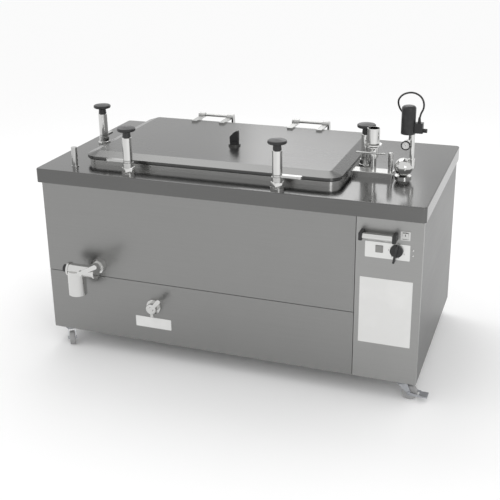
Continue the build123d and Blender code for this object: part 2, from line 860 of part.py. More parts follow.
for name, (x, y, angle, reach) in clamps.items():
    claw_plane = Plane(
        origin=at(x, y, claw_bottom),
        x_dir=(cos(radians(angle)), sin(radians(angle)), 0),
        z_dir=(0, 0, 1),
    )
    toe_middle = reach
    with BuildPart() as claw:
        with BuildSketch(claw_plane):
            Circle(claw_hub_radius)
            with Locations((toe_middle / 2, 0)):
                Rectangle(toe_middle, claw_width)
            with Locations((toe_middle, 0)):
                Circle(claw_width / 2)
            Circle(screw / 2 + running_gap, mode=Mode.SUBTRACT)
        extrude(amount=claw_thickness)
        with BuildSketch(claw_plane):
            with Locations((toe_middle, 0)):
                Circle(claw_toe_length / 2)
        extrude(amount=-claw_toe)
    write(claw.part, f"clamp_claw_{name}")

    with BuildPart() as sleeve:
        with BuildSketch(level(sleeve_bottom)):
            with Locations((x, y)):
                Circle(sleeve_radius)
                Circle(screw / 2 + running_gap, mode=Mode.SUBTRACT)
        extrude(amount=sleeve_length)
        chamfer(sleeve.edges().filter_by(GeomType.CIRCLE).sort_by(Edge.radius)[-2:], 1.5)
    write(sleeve.part, f"clamp_sleeve_{name}")

    with BuildPart() as knob:
        with BuildSketch(Plane(origin=at(x, y, knob_bottom), x_dir=(1, 0, 0), z_dir=(0, -1, 0))):
            with BuildLine():
                Polyline(
                    (0, 0),
                    (knob_hub_radius, 0),
                    (knob_hub_radius - 2, knob_hub_height - 6),
                    (knob_disc_radius - 3, knob_hub_height),
                    (knob_disc_radius, knob_hub_height + 3),
                    (knob_disc_radius, knob_hub_height + knob_disc_height - knob_crown - 3),
                    (knob_disc_radius - 3, knob_hub_height + knob_disc_height - knob_crown),
                    (0, knob_hub_height + knob_disc_height),
                    close=True,
                )
            make_face()
        revolve(axis=Axis(at(x, y, 0), (0, 0, 1)))
        with BuildSketch(level(knob_bottom)):
            with Locations((x, y)):
                Circle(screw / 2 + running_gap)
        extrude(amount=screw_top - knob_bottom + running_gap, mode=Mode.SUBTRACT)
    write(knob.part, f"clamp_knob_{name}")

# Filler: base block with the level pipe, then the tap body with its flange and funnel
filler_base_top = worktop_height + filler_base_height
with BuildPart() as filler_base:
    with BuildSketch(level(worktop_height)):
        with Locations((filler_base_x, filler_y)):
            RectangleRounded(filler_base_length, filler_base_depth, 4)
    extrude(amount=filler_base_height)
    fillet(filler_base.edges().group_by(Axis.Z)[-1], 2)
    with BuildSketch(level(filler_base_top)):
        with Locations((level_pipe_x, filler_y)):
            Circle(level_pipe_diameter / 2)
    extrude(amount=level_pipe_height - filler_base_height)
    fillet(filler_base.faces().sort_by(Axis.Z)[-1].edges(), 4)
write(filler_base.part, "filler_base")

filler_axis_z = worktop_height + filler_axis_height
filler_body_top = filler_axis_z + filler_body_radius - 4
filler_flange_z = filler_body_top + filler_neck_height
bar_y = filler_y - filler_flange_radius - filler_bar_diameter
filler_stem = 12.0
with BuildPart() as filler_pipe_part:
    with BuildSketch(level(filler_base_top)):
        with Locations((filler_x, filler_y)):
            Circle(filler_pipe / 2)
    extrude(amount=filler_axis_z - filler_base_top)
    with BuildSketch(level(filler_axis_z - filler_body_drop)):
        with Locations((filler_x, filler_y)):
            Circle(filler_body_radius)
    extrude(amount=filler_body_top - filler_axis_z + filler_body_drop)
    fillet(filler_pipe_part.faces().sort_by(Axis.Z)[-1].edges(), 5)
    with BuildSketch(level(filler_axis_z)):
        with Locations((filler_x, filler_y)):
            Circle(filler_pipe / 2)
    extrude(amount=filler_flange_z - filler_axis_z)
    with BuildSketch(level(filler_flange_z)):
        with Locations((filler_x, filler_y)):
            Circle(filler_flange_radius)
    extrude(amount=filler_flange_height)
    with BuildSketch(level(filler_axis_z)):
        with Locations((filler_x, filler_y)):
            Circle(filler_pipe / 2 - 4)
    extrude(amount=filler_flange_z + filler_flange_height - filler_axis_z, mode=Mode.SUBTRACT)
    with BuildSketch(facing_front(filler_y)):
        with Locations((filler_x, filler_axis_z)):
            Circle(filler_stem / 2 + running_gap)
    extrude(amount=filler_flange_radius, mode=Mode.SUBTRACT)
write(filler_pipe_part.part, "filler_tap_body")

with BuildPart() as filler_funnel:
    with BuildSketch(level(filler_flange_z + filler_flange_height)):
        with Locations((filler_x, filler_y)):
            Circle(funnel_radius)
    extrude(amount=funnel_height)
    fillet(filler_funnel.faces().sort_by(Axis.Z)[0].edges(), 5)
    with BuildSketch(level(filler_flange_z + filler_flange_height + funnel_wall)):
        with Locations((filler_x, filler_y)):
            Circle(funnel_radius - funnel_wall)
    extrude(amount=funnel_height - funnel_wall, mode=Mode.SUBTRACT)
    with BuildSketch(level(filler_flange_z + filler_flange_height)):
        with Locations((filler_x, filler_y)):
            Circle(filler_pipe / 2 - 4)
    extrude(amount=funnel_wall, mode=Mode.SUBTRACT)
write(filler_funnel.part, "filler_funnel")

with BuildPart() as filler_bar:
    with BuildSketch(facing_front(filler_y - filler_pipe / 2)):
        with Locations((filler_x, filler_axis_z)):
            Circle(filler_stem / 2)
    extrude(amount=filler_y - filler_pipe / 2 - bar_y)
    with BuildSketch(across(filler_x - filler_bar_length / 2, bar_y, filler_axis_z)):
        Circle(filler_bar_diameter / 2)
    extrude(amount=filler_bar_length)
    fillet(filler_bar.edges().filter_by(GeomType.CIRCLE).sort_by(Axis.X)[0], 2)
    fillet(filler_bar.edges().filter_by(GeomType.CIRCLE).sort_by(Axis.X)[-1], 2)
write(filler_bar.part, "filler_tap_bar")

# Safety valve: foot, round body and riser, with a junction for the lead
switch_z = worktop_height + switch_bottom
ball_z = worktop_height + valve_ball_height
gland_end_y = valve_y + junction_depth / 2 + gland_length
with BuildPart() as safety_valve:
    with BuildSketch(level(worktop_height)):
        with Locations((valve_x, valve_y)):
            Circle(valve_foot_radius)
    extrude(amount=valve_foot_height)
    with Locations(at(valve_x, valve_y, ball_z)):
        Sphere(valve_ball_radius)
    with BuildSketch(level(ball_z)):
        with Locations((riser_x, valve_y)):
            Circle(riser_diameter / 2 + 4)
    extrude(amount=valve_ball_radius)
    with BuildSketch(level(ball_z)):
        with Locations((riser_x, valve_y)):
            Circle(riser_diameter / 2)
    extrude(amount=switch_z - ball_z)
    with BuildSketch(facing_front(valve_y + junction_depth / 2)):
        with Locations((junction_x, junction_z)):
            Circle(junction_radius)
    extrude(amount=junction_depth)
    with BuildSketch(across(junction_x, valve_y, junction_z)):
        Circle(riser_diameter / 3)
    extrude(amount=riser_x - junction_x)
    with BuildSketch(facing_front(gland_end_y)):
        with Locations((junction_x, junction_z)):
            Circle(gland_radius)
    extrude(amount=gland_length + junction_depth / 2)
    with BuildSketch(level(worktop_height)):
        with Locations((valve_x, valve_y)):
            Rectangle(4 * valve_foot_radius, 4 * valve_foot_radius)
    extrude(amount=-worktop_sheet - valve_ball_radius, mode=Mode.SUBTRACT)
write(safety_valve.part, "safety_valve")

# Pressure switch: a tall round housing with its plug connector on the right
plug_x = switch_x + switch_radius + plug_block / 2 - 2
plug_top = switch_z + plug_rise + plug_height
with BuildPart() as pressure_switch:
    with BuildSketch(level(switch_z)):
        with Locations((switch_x, valve_y)):
            Circle(switch_radius)
    extrude(amount=switch_height)
    fillet(pressure_switch.faces().sort_by(Axis.Z)[-1].edges(), switch_crown)
    with Locations(at(plug_x, valve_y, switch_z + plug_rise + plug_height / 2)):
        Box(plug_block, plug_depth, plug_height)
    with BuildSketch(across(plug_x + plug_block / 2, valve_y, switch_z + plug_rise + plug_height / 4)):
        Circle(plug_block / 4)
    extrude(amount=plug_block / 2)
write(pressure_switch.part, "pressure_switch")

# Lead from the plug, over the housing and down behind it to the junction's gland
# Each step is (across, back, up) in shares of the loop's width, reach to the back and height
lead_from_plug = [
    (0, 0, 0),
    (0, 0, 0.24),
    (0.2, 0, 0.52),
    (0.09, 0, 0.84),
    (-0.3, 0, 1),
    (-0.74, 0, 0.93),
    (-1, 0.11, 0.7),
    (-0.99, 0.4, 0.4),
    (-0.86, 0.77, 0.14),
]
lead_from_junction = [
    (-0.15, 1, 0.57),
    (-0.03, 0.98, 0.22),
]
lead_points = [
    (plug_x + aside * lead_loop_width, valve_y + back * lead_loop_back, plug_top + up * lead_loop_height)
    for aside, back, up in lead_from_plug
]
lead_points += [
    (junction_x + aside * lead_loop_width, valve_y + back * lead_loop_back, junction_z + up * lead_loop_height)
    for aside, back, up in lead_from_junction
]
lead_points += [
    (junction_x, gland_end_y + 0.38 * lead_loop_back, junction_z),
    (junction_x, gland_end_y, junction_z),
]


def bend_radii(points):
    """The radius at each inner point: 0.45 of the shorter run over the tangent of half the turn."""
    radii = []
    for before, here, after in zip(points, points[1:], points[2:]):
        run_in = Vector(*here) - Vector(*before)
        run_out = Vector(*after) - Vector(*here)
        turn = run_in.get_angle(run_out)
        shorter = min(run_in.length, run_out.length)
        radii.append(0.45 * shorter / tan(radians(turn) / 2))
    return radii


lead_route = [at(*point) for point in lead_points]
lead_radii = bend_radii(lead_route)
print("lead bend radii:", [round(radius, 1) for radius in lead_radii])
with BuildPart() as switch_lead:
    with BuildLine() as lead_line:
        FilletPolyline(*lead_route, radius=lead_radii)
    start = Plane(origin=lead_route[0], z_dir=Vector(*lead_route[1]) - Vector(*lead_route[0]))
    with BuildSketch(start):
        Circle(lead_diameter / 2)
    sweep(path=lead_line.wires()[0])
print("lead length:", round(lead_line.wires()[0].length, 1))
print("lead volume over section times length:", round(
    switch_lead.part.volume / (pi * (lead_diameter / 2) ** 2 * lead_line.wires()[0].length), 4))
write(switch_lead.part, "switch_lead")

# Vent posts of the jacket: capped pipes on the worktop's left side
vent_post_places = [
    (-worktop_length / 2 + post_rear_in, post_rear_y, post_rear_height),
    (-worktop_length / 2 + post_front_in, -worktop_depth / 2 + post_front_edge_gap, post_front_height),
]
with BuildPart() as vent_posts:
    for x, y, height in vent_post_places:
        with BuildSketch(level(worktop_height)):
            with Locations((x, y)):
                Circle(post_radius + post_wall)
        extrude(amount=post_wall)
        with BuildSketch(level(worktop_height)):
            with Locations((x, y)):
                Circle(post_radius)
        extrude(amount=height)
    fillet(vent_posts.edges().filter_by(GeomType.CIRCLE).group_by(Axis.Z)[-1], post_wall)
write(vent_posts.part, "jacket_vent_posts")

# Drain valve: union on the vessel's stub, body across the front, wide spout and end cap
drain_right = outlet_x + drain_body_radius
drain_left = drain_right - drain_body_length
spout_top = outlet_z - drain_body_radius + spout_drop
with BuildPart() as drain_valve:
    with BuildSketch(facing_front(body_front - seat_gap)):
        with Locations((outlet_x, outlet_z)):
            RegularPolygon(union_radius, 8)
    extrude(amount=outlet_reach)
    with BuildSketch(facing_front(body_front - outlet_reach)):
        with Locations((outlet_x, outlet_z)):
            Circle(outlet_diameter / 2)
    extrude(amount=drain_stand - outlet_reach)
    with BuildSketch(across(drain_left, spout_y, outlet_z)):
        Circle(drain_body_radius)
    extrude(amount=drain_body_length)
    for x in (drain_left, drain_right - 8):
        with BuildSketch(across(x, spout_y, outlet_z)):
            Circle(drain_body_radius + 4)
        extrude(amount=8)
    with BuildSketch(across(drain_left - drain_cap_length, spout_y, outlet_z)):
        Circle(drain_cap_radius)
    extrude(amount=drain_cap_length)
    with BuildSketch(level(spout_top - spout_height)):
        with Locations((spout_x, spout_y)):
            Circle(spout_radius)
    extrude(amount=spout_height)
    with BuildSketch(facing_front(spout_y)):
        with Locations((drain_stem_x, outlet_z)):
            Circle(drain_stem / 2 + 5)
    extrude(amount=drain_body_radius + 5)
    with BuildSketch(facing_front(body_front)):
        with Locations((outlet_x, outlet_z)):
            Circle(outlet_diameter / 2 + running_gap)
    extrude(amount=outlet_reach, mode=Mode.SUBTRACT)
    with BuildSketch(facing_front(body_front)):
        with Locations((outlet_x, outlet_z)):
            Circle(outlet_diameter / 2 - outlet_wall)
    extrude(amount=drain_stand, mode=Mode.SUBTRACT)
    with BuildSketch(level(spout_top - spout_height)):
        with Locations((spout_x, spout_y)):
            Circle(spout_radius - spout_wall)
    extrude(amount=spout_height - spout_drop - spout_wall, mode=Mode.SUBTRACT)
    with BuildSketch(facing_front(spout_y)):
        with Locations((drain_stem_x, outlet_z)):
            Circle(drain_stem / 2 + running_gap)
    extrude(amount=drain_body_radius + 5, mode=Mode.SUBTRACT)
write(drain_valve.part, "drain_valve_body")


# Levers of the drain valve and the small tap: a stem and a tapered, slightly bent handle
def lever(x, z, seat_y, stem, stem_depth, proud, length, width, thickness, angle):
    """A lever whose stem enters the valve along Y and whose handle lies across its end."""
    handle_y = seat_y - proud
    handle_plane = Plane(
        origin=at(x, handle_y, z),
        x_dir=(cos(radians(angle)), 0, sin(radians(angle))),
        z_dir=(0, -1, 0),
    )
    with BuildPart() as handle:
        with BuildSketch(Plane(origin=at(x, seat_y + stem_depth, z), x_dir=(1, 0, 0), z_dir=(0, -1, 0))):
            Circle(stem / 2)
        extrude(amount=stem_depth + proud)
        with BuildSketch(handle_plane):
            Circle(width / 2 + 2)
            with BuildLine():
                Polyline(
                    (0, -width / 2 + 2),
                    (length, -width / 2),
                    (length, width / 2),
                    (0, width / 2 - 2),
                    close=True,
                )
            make_face()
            with Locations((length, 0)):
                Circle(width / 2)
        extrude(amount=thickness)
    return handle.part


drain_seat_y = spout_y - drain_body_radius - 5
write(
    lever(
        drain_stem_x,
        outlet_z,
        drain_seat_y,
        drain_stem,
        drain_body_radius,
        seat_gap,
        drain_lever_length,
        drain_lever_width,
        drain_lever_thickness,
        drain_lever_angle,
    ),
    "drain_lever",
)

# Small tap: boss on the panel, body and a nozzle that points down
tap_front_y = body_front - tap_reach
with BuildPart() as tap_body:
    with BuildSketch(facing_front(body_front)):
        with Locations((tap_x, tap_z)):
            Circle(tap_boss_radius)
    extrude(amount=tap_boss_height)
    with BuildSketch(facing_front(body_front)):
        with Locations((tap_x, tap_z)):
            Circle(tap_body_radius)
    extrude(amount=tap_reach)
    fillet(tap_body.faces().sort_by(Axis.Y)[0].edges(), 5)
    nozzle_y = body_front - tap_reach + tap_nozzle_radius + 4
    with BuildSketch(level(tap_z - tap_nozzle_drop)):
        with Locations((tap_x, nozzle_y)):
            Circle(tap_nozzle_radius)
    extrude(amount=tap_nozzle_drop)
    with BuildSketch(level(tap_z - tap_nozzle_drop)):
        with Locations((tap_x, nozzle_y)):
            Circle(tap_nozzle_radius - tap_nozzle_wall)
    extrude(amount=tap_nozzle_drop - tap_body_radius + 6, mode=Mode.SUBTRACT)
    with BuildSketch(facing_front(tap_front_y + tap_stem_reach + 2)):
        with Locations((tap_x, tap_z)):
            Circle(tap_stem / 2 + running_gap)
    extrude(amount=tap_stem_reach + 2, mode=Mode.SUBTRACT)
write(tap_body.part, "tap_body")
write(
    lever(
        tap_x,
        tap_z,
        tap_front_y,
        tap_stem,
        tap_stem_reach,
        seat_gap,
        tap_lever_length,
        tap_lever_width,
        tap_lever_thickness,
        tap_lever_angle,
    ),
    "tap_lever",
)


# Plates on the front face
def face_plate(x, z, width, height, radius, thickness=plate_thickness):
    with BuildPart() as plate:
        with BuildSketch(facing_front(body_front)):
            with Locations((x, z)):
                RectangleRounded(width, height, radius)
        extrude(amount=thickness)
    return plate.part


write(face_plate(tap_plate_x, tap_plate_z, tap_plate_length, tap_plate_height, 3), "tap_plate")
write(face_plate(info_x, info_z, info_width, info_height, 2), "info_plate")

with BuildPart() as control_plate:
    with BuildSketch(facing_front(body_front)):
        with Locations((control_x, control_z)):
            RectangleRounded(control_length, control_height, 3)
        with Locations((knob_x, knob_z)):
            Circle(spindle / 2 + hole_gap, mode=Mode.SUBTRACT)
        with Locations((lamp_x, lamp_z)):
            Rectangle(lamp_size, lamp_size, mode=Mode.SUBTRACT)
    extrude(amount=plate_thickness)
write(control_plate.part, "control_plate")

with BuildPart() as indicator_lamp:
    with BuildSketch(facing_front(body_front)):
        with Locations((lamp_x, lamp_z)):
            RectangleRounded(lamp_size - 2 * seat_gap, lamp_size - 2 * seat_gap, 3)
    extrude(amount=lamp_proud)
    fillet(indicator_lamp.faces().sort_by(Axis.Y)[0].edges(), 1.5)
write(indicator_lamp.part, "indicator_lamp")

# Bridge handle of the column's service panel: a bar between two end blocks
with BuildPart() as column_handle:
    bar_front_y = body_front - handle_stand
    for side in (-1, 1):
        end_x = handle_x + side * (handle_length / 2 - handle_end_width / 2)
        with BuildSketch(facing_front(body_front)):
            with Locations((end_x, handle_z)):
                RectangleRounded(handle_end_width, handle_end_height, 4)
        extrude(amount=handle_stand + handle_diameter / 2)
    with BuildSketch(across(handle_x - handle_length / 2, bar_front_y, handle_z)):
        Circle(handle_diameter / 2)
    extrude(amount=handle_length)
write(column_handle.part, "column_handle")

# Rocker switch, round at the back about its pivot, and rotary knob, with their bodies behind the panel
with BuildPart() as rocker_bezel_part:
    with BuildSketch(facing_front(body_front)):
        with Locations((rocker_x, rocker_z)):
            RectangleRounded(rocker_width + 2 * rocker_bezel, rocker_height + rocker_bezel, 2)
            Rectangle(rocker_width + 2 * seat_gap, rocker_height + 2 * seat_gap, mode=Mode.SUBTRACT)
    extrude(amount=3)
    switch_back_y = body_front + casing_sheet
    with BuildSketch(facing_front(switch_back_y + rocker_depth)):
        with Locations((rocker_x, rocker_z)):
            Rectangle(rocker_width + rocker_bezel / 2, rocker_height + rocker_bezel)
    extrude(amount=rocker_depth)
    with BuildSketch(facing_front(switch_back_y + rocker_depth - casing_sheet)):
        with Locations((rocker_x, rocker_z)):
            Rectangle(rocker_width + 2 * seat_gap, rocker_height + 2 * seat_gap)
    extrude(amount=rocker_depth, mode=Mode.SUBTRACT)
    with BuildSketch(facing_front(switch_back_y + switch_body_depth)):
        with Locations((knob_x, knob_z)):
            Rectangle(switch_body_size, switch_body_size)
    extrude(amount=switch_body_depth)
    with BuildSketch(facing_front(switch_back_y + spindle_length)):
        with Locations((knob_x, knob_z)):
            Circle(spindle / 2 + running_gap)
    extrude(amount=spindle_length, mode=Mode.SUBTRACT)
write(rocker_bezel_part.part, "switch_bodies")

with BuildPart() as rocker:
    rocker_pivot_y = body_front + casing_sheet
    with BuildSketch(across(rocker_x - rocker_width / 2, rocker_pivot_y, rocker_z)):
        with BuildLine():
            Polyline(
                (0, rocker_back),
                (-rocker_proud - casing_sheet - 3, rocker_height / 2 - 1.5),
                (-rocker_proud - casing_sheet, 0),
                (-rocker_proud - casing_sheet + 3, -rocker_height / 2 + 1.5),
                (0, -rocker_back),
            )
            ThreePointArc((0, -rocker_back), (rocker_back, 0), (0, rocker_back))
        make_face()
    extrude(amount=rocker_width)
write(rocker.part, "rocker_switch")

with BuildPart() as control_knob:
    knob_seat_y = body_front - plate_thickness - seat_gap
    with BuildSketch(facing_front(knob_seat_y)):
        with Locations((knob_x, knob_z)):
            Circle(knob_radius)
    extrude(amount=knob_height / 2, taper=6)
    tail_plane = Plane(
        origin=at(knob_x, knob_seat_y, knob_z),
        x_dir=(cos(radians(-100)), 0, sin(radians(-100))),
        z_dir=(0, -1, 0),
    )
    with BuildSketch(tail_plane):
        with Locations(((knob_tail - knob_radius) / 2, 0)):
            SlotOverall(knob_tail + knob_radius, knob_grip)
    extrude(amount=knob_height)
    with BuildSketch(facing_front(body_front + spindle_length)):
        with Locations((knob_x, knob_z)):
            Circle(spindle / 2)
    extrude(amount=spindle_length + plate_thickness + 2)
write(control_knob.part, "control_knob")

# Castors, each drawn with its trail along the yaw direction
castor_places = {
    "front_left": (castor_left_x, castor_front_y),
    "front_right": (castor_right_x, castor_front_y),
    "rear_left": (castor_left_x, castor_back_y),
    "rear_right": (castor_right_x, castor_back_y),
}
race_top = floor_gap - castor_plate_thickness
race_bottom = race_top - castor_race_height
fork_top = race_bottom - seat_gap
fork_inner = castor_wheel_width / 2 + castor_fork_gap
fork_outer = fork_inner + castor_fork_wall

with BuildPart() as castor_plates:
    for x, y in castor_places.values():
        with BuildSketch(level(race_top)):
            with Locations((x, y)):
                RectangleRounded(castor_plate_length, castor_plate_width, 6)
        extrude(amount=castor_plate_thickness)
        with BuildSketch(level(race_bottom)):
            with Locations((x, y)):
                Circle(castor_race_radius)
        extrude(amount=castor_race_height)
        with BuildSketch(level(race_bottom - castor_fork_wall - 3 * castor_race_height / 7)):
            with Locations((x, y)):
                Circle(castor_kingpin / 2)
        extrude(amount=castor_fork_wall + castor_race_height)
write(castor_plates.part, "castor_plates")


def castor_plane(name, height=0.0):
    x, y = castor_places[name]
    yaw = radians(castor_yaw[name])
    return Plane(origin=at(x, y, height), x_dir=(cos(yaw), sin(yaw), 0), z_dir=(0, 0, 1))


def castor_side(name, across_offset):
    """A plane in the castor's own side view, `across_offset` to the left of its middle."""
    x, y = castor_places[name]
    yaw = radians(castor_yaw[name])
    return Plane(
        origin=at(x - across_offset * sin(yaw), y + across_offset * cos(yaw), 0),
        x_dir=(cos(yaw), sin(yaw), 0),
        z_dir=(sin(yaw), -cos(yaw), 0),
    )


for name in castor_places:
    with BuildPart() as fork:
        with BuildSketch(castor_plane(name, fork_top - castor_fork_wall)):
            Circle(castor_race_radius + 2)
            Circle(castor_kingpin / 2 + running_gap, mode=Mode.SUBTRACT)
        extrude(amount=castor_fork_wall)
        for side in (fork_outer, -fork_inner):
            with BuildSketch(castor_side(name, side)):
                with BuildLine():
                    Polyline(
                        (-castor_race_radius + 6, fork_top - castor_fork_wall),
                        (castor_trail - 9, castor_wheel_radius),
                        (castor_trail + 9, castor_wheel_radius),
                        (castor_race_radius, fork_top - castor_fork_wall),
                        close=True,
                    )
                make_face()
                with Locations((castor_trail, castor_wheel_radius)):
                    Circle(9)
            extrude(amount=castor_fork_wall)
        with BuildSketch(castor_side(name, fork_outer + 2)):
            with Locations((castor_trail, castor_wheel_radius)):
                Circle(castor_axle / 2)
        extrude(amount=2 * fork_outer + 4)
    write(fork.part, f"castor_fork_{name}")

    with BuildPart() as wheel:
        with BuildSketch(castor_side(name, castor_wheel_width / 2)):
            with Locations((castor_trail, castor_wheel_radius)):
                Circle(castor_wheel_radius)
        extrude(amount=castor_wheel_width)
        fillet(wheel.edges().filter_by(GeomType.CIRCLE), castor_tread)
        with BuildSketch(castor_side(name, castor_wheel_width / 2)):
            with Locations((castor_trail, castor_wheel_radius)):
                Circle(castor_axle / 2 + running_gap)
        extrude(amount=castor_wheel_width, mode=Mode.SUBTRACT)
    write(wheel.part, f"castor_wheel_{name}")

# Brake pedal on the front right castor
pedal_z = castor_wheel_radius - pedal_drop
pedal_start = castor_trail + castor_wheel_radius + pedal_pivot
with BuildPart() as pedal:
    for side in (fork_outer + seat_gap + castor_fork_wall, -fork_outer - seat_gap):
        with BuildSketch(castor_side("front_right", side)):
            with BuildLine():
                Polyline(
                    (castor_trail, castor_wheel_radius + 7),
                    (pedal_start + 6, pedal_z + pedal_thickness + 3),
                    (pedal_start + 6, pedal_z),
                    (castor_trail, castor_wheel_radius - 7),
                    close=True,
                )
            make_face()
            with Locations((castor_trail, castor_wheel_radius)):
                Circle(8)
                Circle(castor_axle / 2 + running_gap, mode=Mode.SUBTRACT)
        extrude(amount=castor_fork_wall)
    with BuildSketch(castor_plane("front_right", pedal_z)):
        with Locations(((pedal_start + castor_trail + pedal_reach) / 2, 0)):
            Rectangle(
                castor_trail + pedal_reach - pedal_start,
                2 * (fork_outer + seat_gap + castor_fork_wall),
            )
    extrude(amount=pedal_thickness)
write(pedal.part, "castor_brake_pedal")

print("worktop middle at", round(table_x, 3), round(table_y, 3))
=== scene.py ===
import bpy
import bmesh
from math import cos, pi, radians, sin, tan
from mathutils import Matrix, Vector


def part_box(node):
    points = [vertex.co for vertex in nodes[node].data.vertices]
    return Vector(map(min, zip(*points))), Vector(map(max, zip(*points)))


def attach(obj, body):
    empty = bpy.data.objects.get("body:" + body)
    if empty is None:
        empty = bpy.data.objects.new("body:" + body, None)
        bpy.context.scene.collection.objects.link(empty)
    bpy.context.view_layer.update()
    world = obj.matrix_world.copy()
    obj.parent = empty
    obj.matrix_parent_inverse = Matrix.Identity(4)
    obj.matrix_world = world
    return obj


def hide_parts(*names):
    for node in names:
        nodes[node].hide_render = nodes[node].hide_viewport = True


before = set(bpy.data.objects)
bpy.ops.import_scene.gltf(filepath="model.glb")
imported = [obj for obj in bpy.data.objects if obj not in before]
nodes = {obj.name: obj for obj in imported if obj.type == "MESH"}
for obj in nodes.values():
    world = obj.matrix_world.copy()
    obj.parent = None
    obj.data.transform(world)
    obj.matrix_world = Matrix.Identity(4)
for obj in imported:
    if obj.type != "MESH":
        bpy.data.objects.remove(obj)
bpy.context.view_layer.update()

# Where the middle of the worktop lies, in metres
top_low, top_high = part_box("worktop")
middle_x = (top_low.x + top_high.x) / 2
middle_y = (top_low.y + top_high.y) / 2
worktop_z = 0.850
front_y = middle_y - 0.438


def spot(x, y, z):
    """A point given in millimetres from the worktop's middle and the floor."""
    return Vector((middle_x + x / 1000, middle_y + y / 1000, z / 1000))


# Camera at the photograph's angle, for a square frame of 500 by 500
def set_camera():
    focal = 903.3
    azimuth, elevation, roll = radians(20.77), radians(19.99), radians(-1.01)
    place = spot(1320.0, -3663.0, 1992.0)
    centre_u, centre_v = 239.8, 214.5
    ahead = Vector((-sin(azimuth) * cos(elevation), cos(azimuth) * cos(elevation), -sin(elevation)))
    right = Vector((cos(azimuth), sin(azimuth), 0))
    up = right.cross(ahead)
    across = cos(roll) * right + sin(roll) * up
    upward = -sin(roll) * right + cos(roll) * up
    data = bpy.data.cameras.new("photo_camera")
    data.sensor_width = 36.0
    data.sensor_fit = "HORIZONTAL"
    data.lens = focal * 36.0 / 500.0
    data.shift_x = (250.0 - centre_u) / 500.0
    data.shift_y = (centre_v - 250.0) / 500.0
    data.clip_end = 60.0
    camera = bpy.data.objects.new("photo_camera", data)
    bpy.context.scene.collection.objects.link(camera)
    turn = Matrix((across, upward, -ahead)).transposed()
    camera.matrix_world = Matrix.Translation(place) @ turn.to_4x4()
    bpy.context.scene.camera = camera


set_camera()


# Small helpers for modelling
def nothing_selected():
    if bpy.context.object and bpy.context.object.mode != "OBJECT":
        bpy.ops.object.mode_set(mode="OBJECT")
    bpy.ops.object.select_all(action="DESELECT")


def only(piece):
    nothing_selected()
    piece.select_set(True)
    bpy.context.view_layer.objects.active = piece


def into_edit(piece, kind="FACE"):
    only(piece)
    bpy.ops.object.mode_set(mode="EDIT")
    bpy.ops.mesh.select_mode(type=kind)
    bpy.ops.mesh.select_all(action="DESELECT")


def pick_faces(piece, test):
    """Selects the faces whose middle and normal pass the test, and says how many there are."""
    shape = bmesh.from_edit_mesh(piece.data)
    count = 0
    for face in shape.faces:
        chosen = bool(test(face.calc_center_median(), face.normal))
        face.select_set(chosen)
        count += chosen
    bmesh.update_edit_mesh(piece.data)
    return count


def pick_edges(piece, test):
    """Selects the edges whose two ends pass the test."""
    shape = bmesh.from_edit_mesh(piece.data)
    for edge in shape.edges:
        edge.select_set(bool(test(edge.verts[0].co, edge.verts[1].co)))
    bmesh.update_edit_mesh(piece.data)


def out_of_edit():
    bpy.ops.object.mode_set(mode="OBJECT")


def settle(piece, name, smooth=35):
    """Puts the object's origin at the frame's origin, names it and shades it."""
    only(piece)
    bpy.ops.object.transform_apply(location=True, rotation=True, scale=True)
    bpy.ops.object.shade_smooth_by_angle(angle=radians(smooth))
    piece.name = name
    piece.data.name = name
    return piece


def put_on(piece, name, body, finish, smooth=35):
    settle(piece, name, smooth)
    piece.data.materials.clear()
    piece.data.materials.append(finish)
    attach(piece, body)
    return piece


def axis_turn(direction):
    """The turn that lays a piece's own Z along a direction."""
    return Vector((0, 0, 1)).rotation_difference(Vector(direction).normalized()).to_euler()


def bevel_all(piece, width, segments=2):
    only(piece)
    rounding = piece.modifiers.new("rounding", "BEVEL")
    rounding.width = width
    rounding.segments = segments
    rounding.limit_method = "ANGLE"
    rounding.angle_limit = radians(40)
    bpy.ops.object.modifier_apply(modifier=rounding.name)


def turned_profile(points, place, direction, sides=48):
    """A turned piece: a line of (radius, height) spun round its own axis and laid along a direction."""
    nothing_selected()
    bpy.ops.mesh.primitive_plane_add(size=0.001, location=(0, 0, 0))
    piece = bpy.context.object
    out_of_edit()
    shape = bmesh.new()
    line = [shape.verts.new((radius, 0, height)) for radius, height in points]
    for low, high in zip(line, line[1:]):
        shape.edges.new((low, high))
    shape.to_mesh(piece.data)
    shape.free()
    into_edit(piece, "VERT")
    bpy.ops.mesh.select_all(action="SELECT")
    bpy.ops.mesh.spin(steps=sides, angle=2 * pi, center=(0, 0, 0), axis=(0, 0, 1))
    bpy.ops.mesh.select_all(action="SELECT")
    bpy.ops.mesh.remove_doubles(threshold=0.00002)
    bpy.ops.mesh.normals_make_consistent(inside=False)
    out_of_edit()
    piece.rotation_euler = axis_turn(direction)
    piece.location = place
    return piece


def hex_head(place, direction, width, height, washer=1.0):
    """A hexagon bolt head with a chamfered top, standing on a round washer."""
    nothing_selected()
    bpy.ops.mesh.primitive_cylinder_add(vertices=24, radius=width * 0.72, depth=washer / 1000)
    disc = bpy.context.object
    disc.location = (0, 0, washer / 2000)
    bpy.ops.object.transform_apply(location=True)
    bevel_all(disc, 0.0003, 1)
    nothing_selected()
    bpy.ops.mesh.primitive_cylinder_add(
        vertices=6, radius=width / 2 / cos(pi / 6), depth=height, location=(0, 0, washer / 1000 + height / 2)
    )
    head = bpy.context.object
    into_edit(head, "FACE")
    pick_faces(head, lambda middle, normal: normal.z > 0.9)
    bpy.ops.mesh.inset(thickness=width * 0.06, depth=0)
    bpy.ops.transform.translate(value=(0, 0, height * 0.12))
    out_of_edit()
    only(head)
    disc.select_set(True)
    bpy.ops.object.join()
    head.rotation_euler = axis_turn(direction)
    head.location = place
    return head


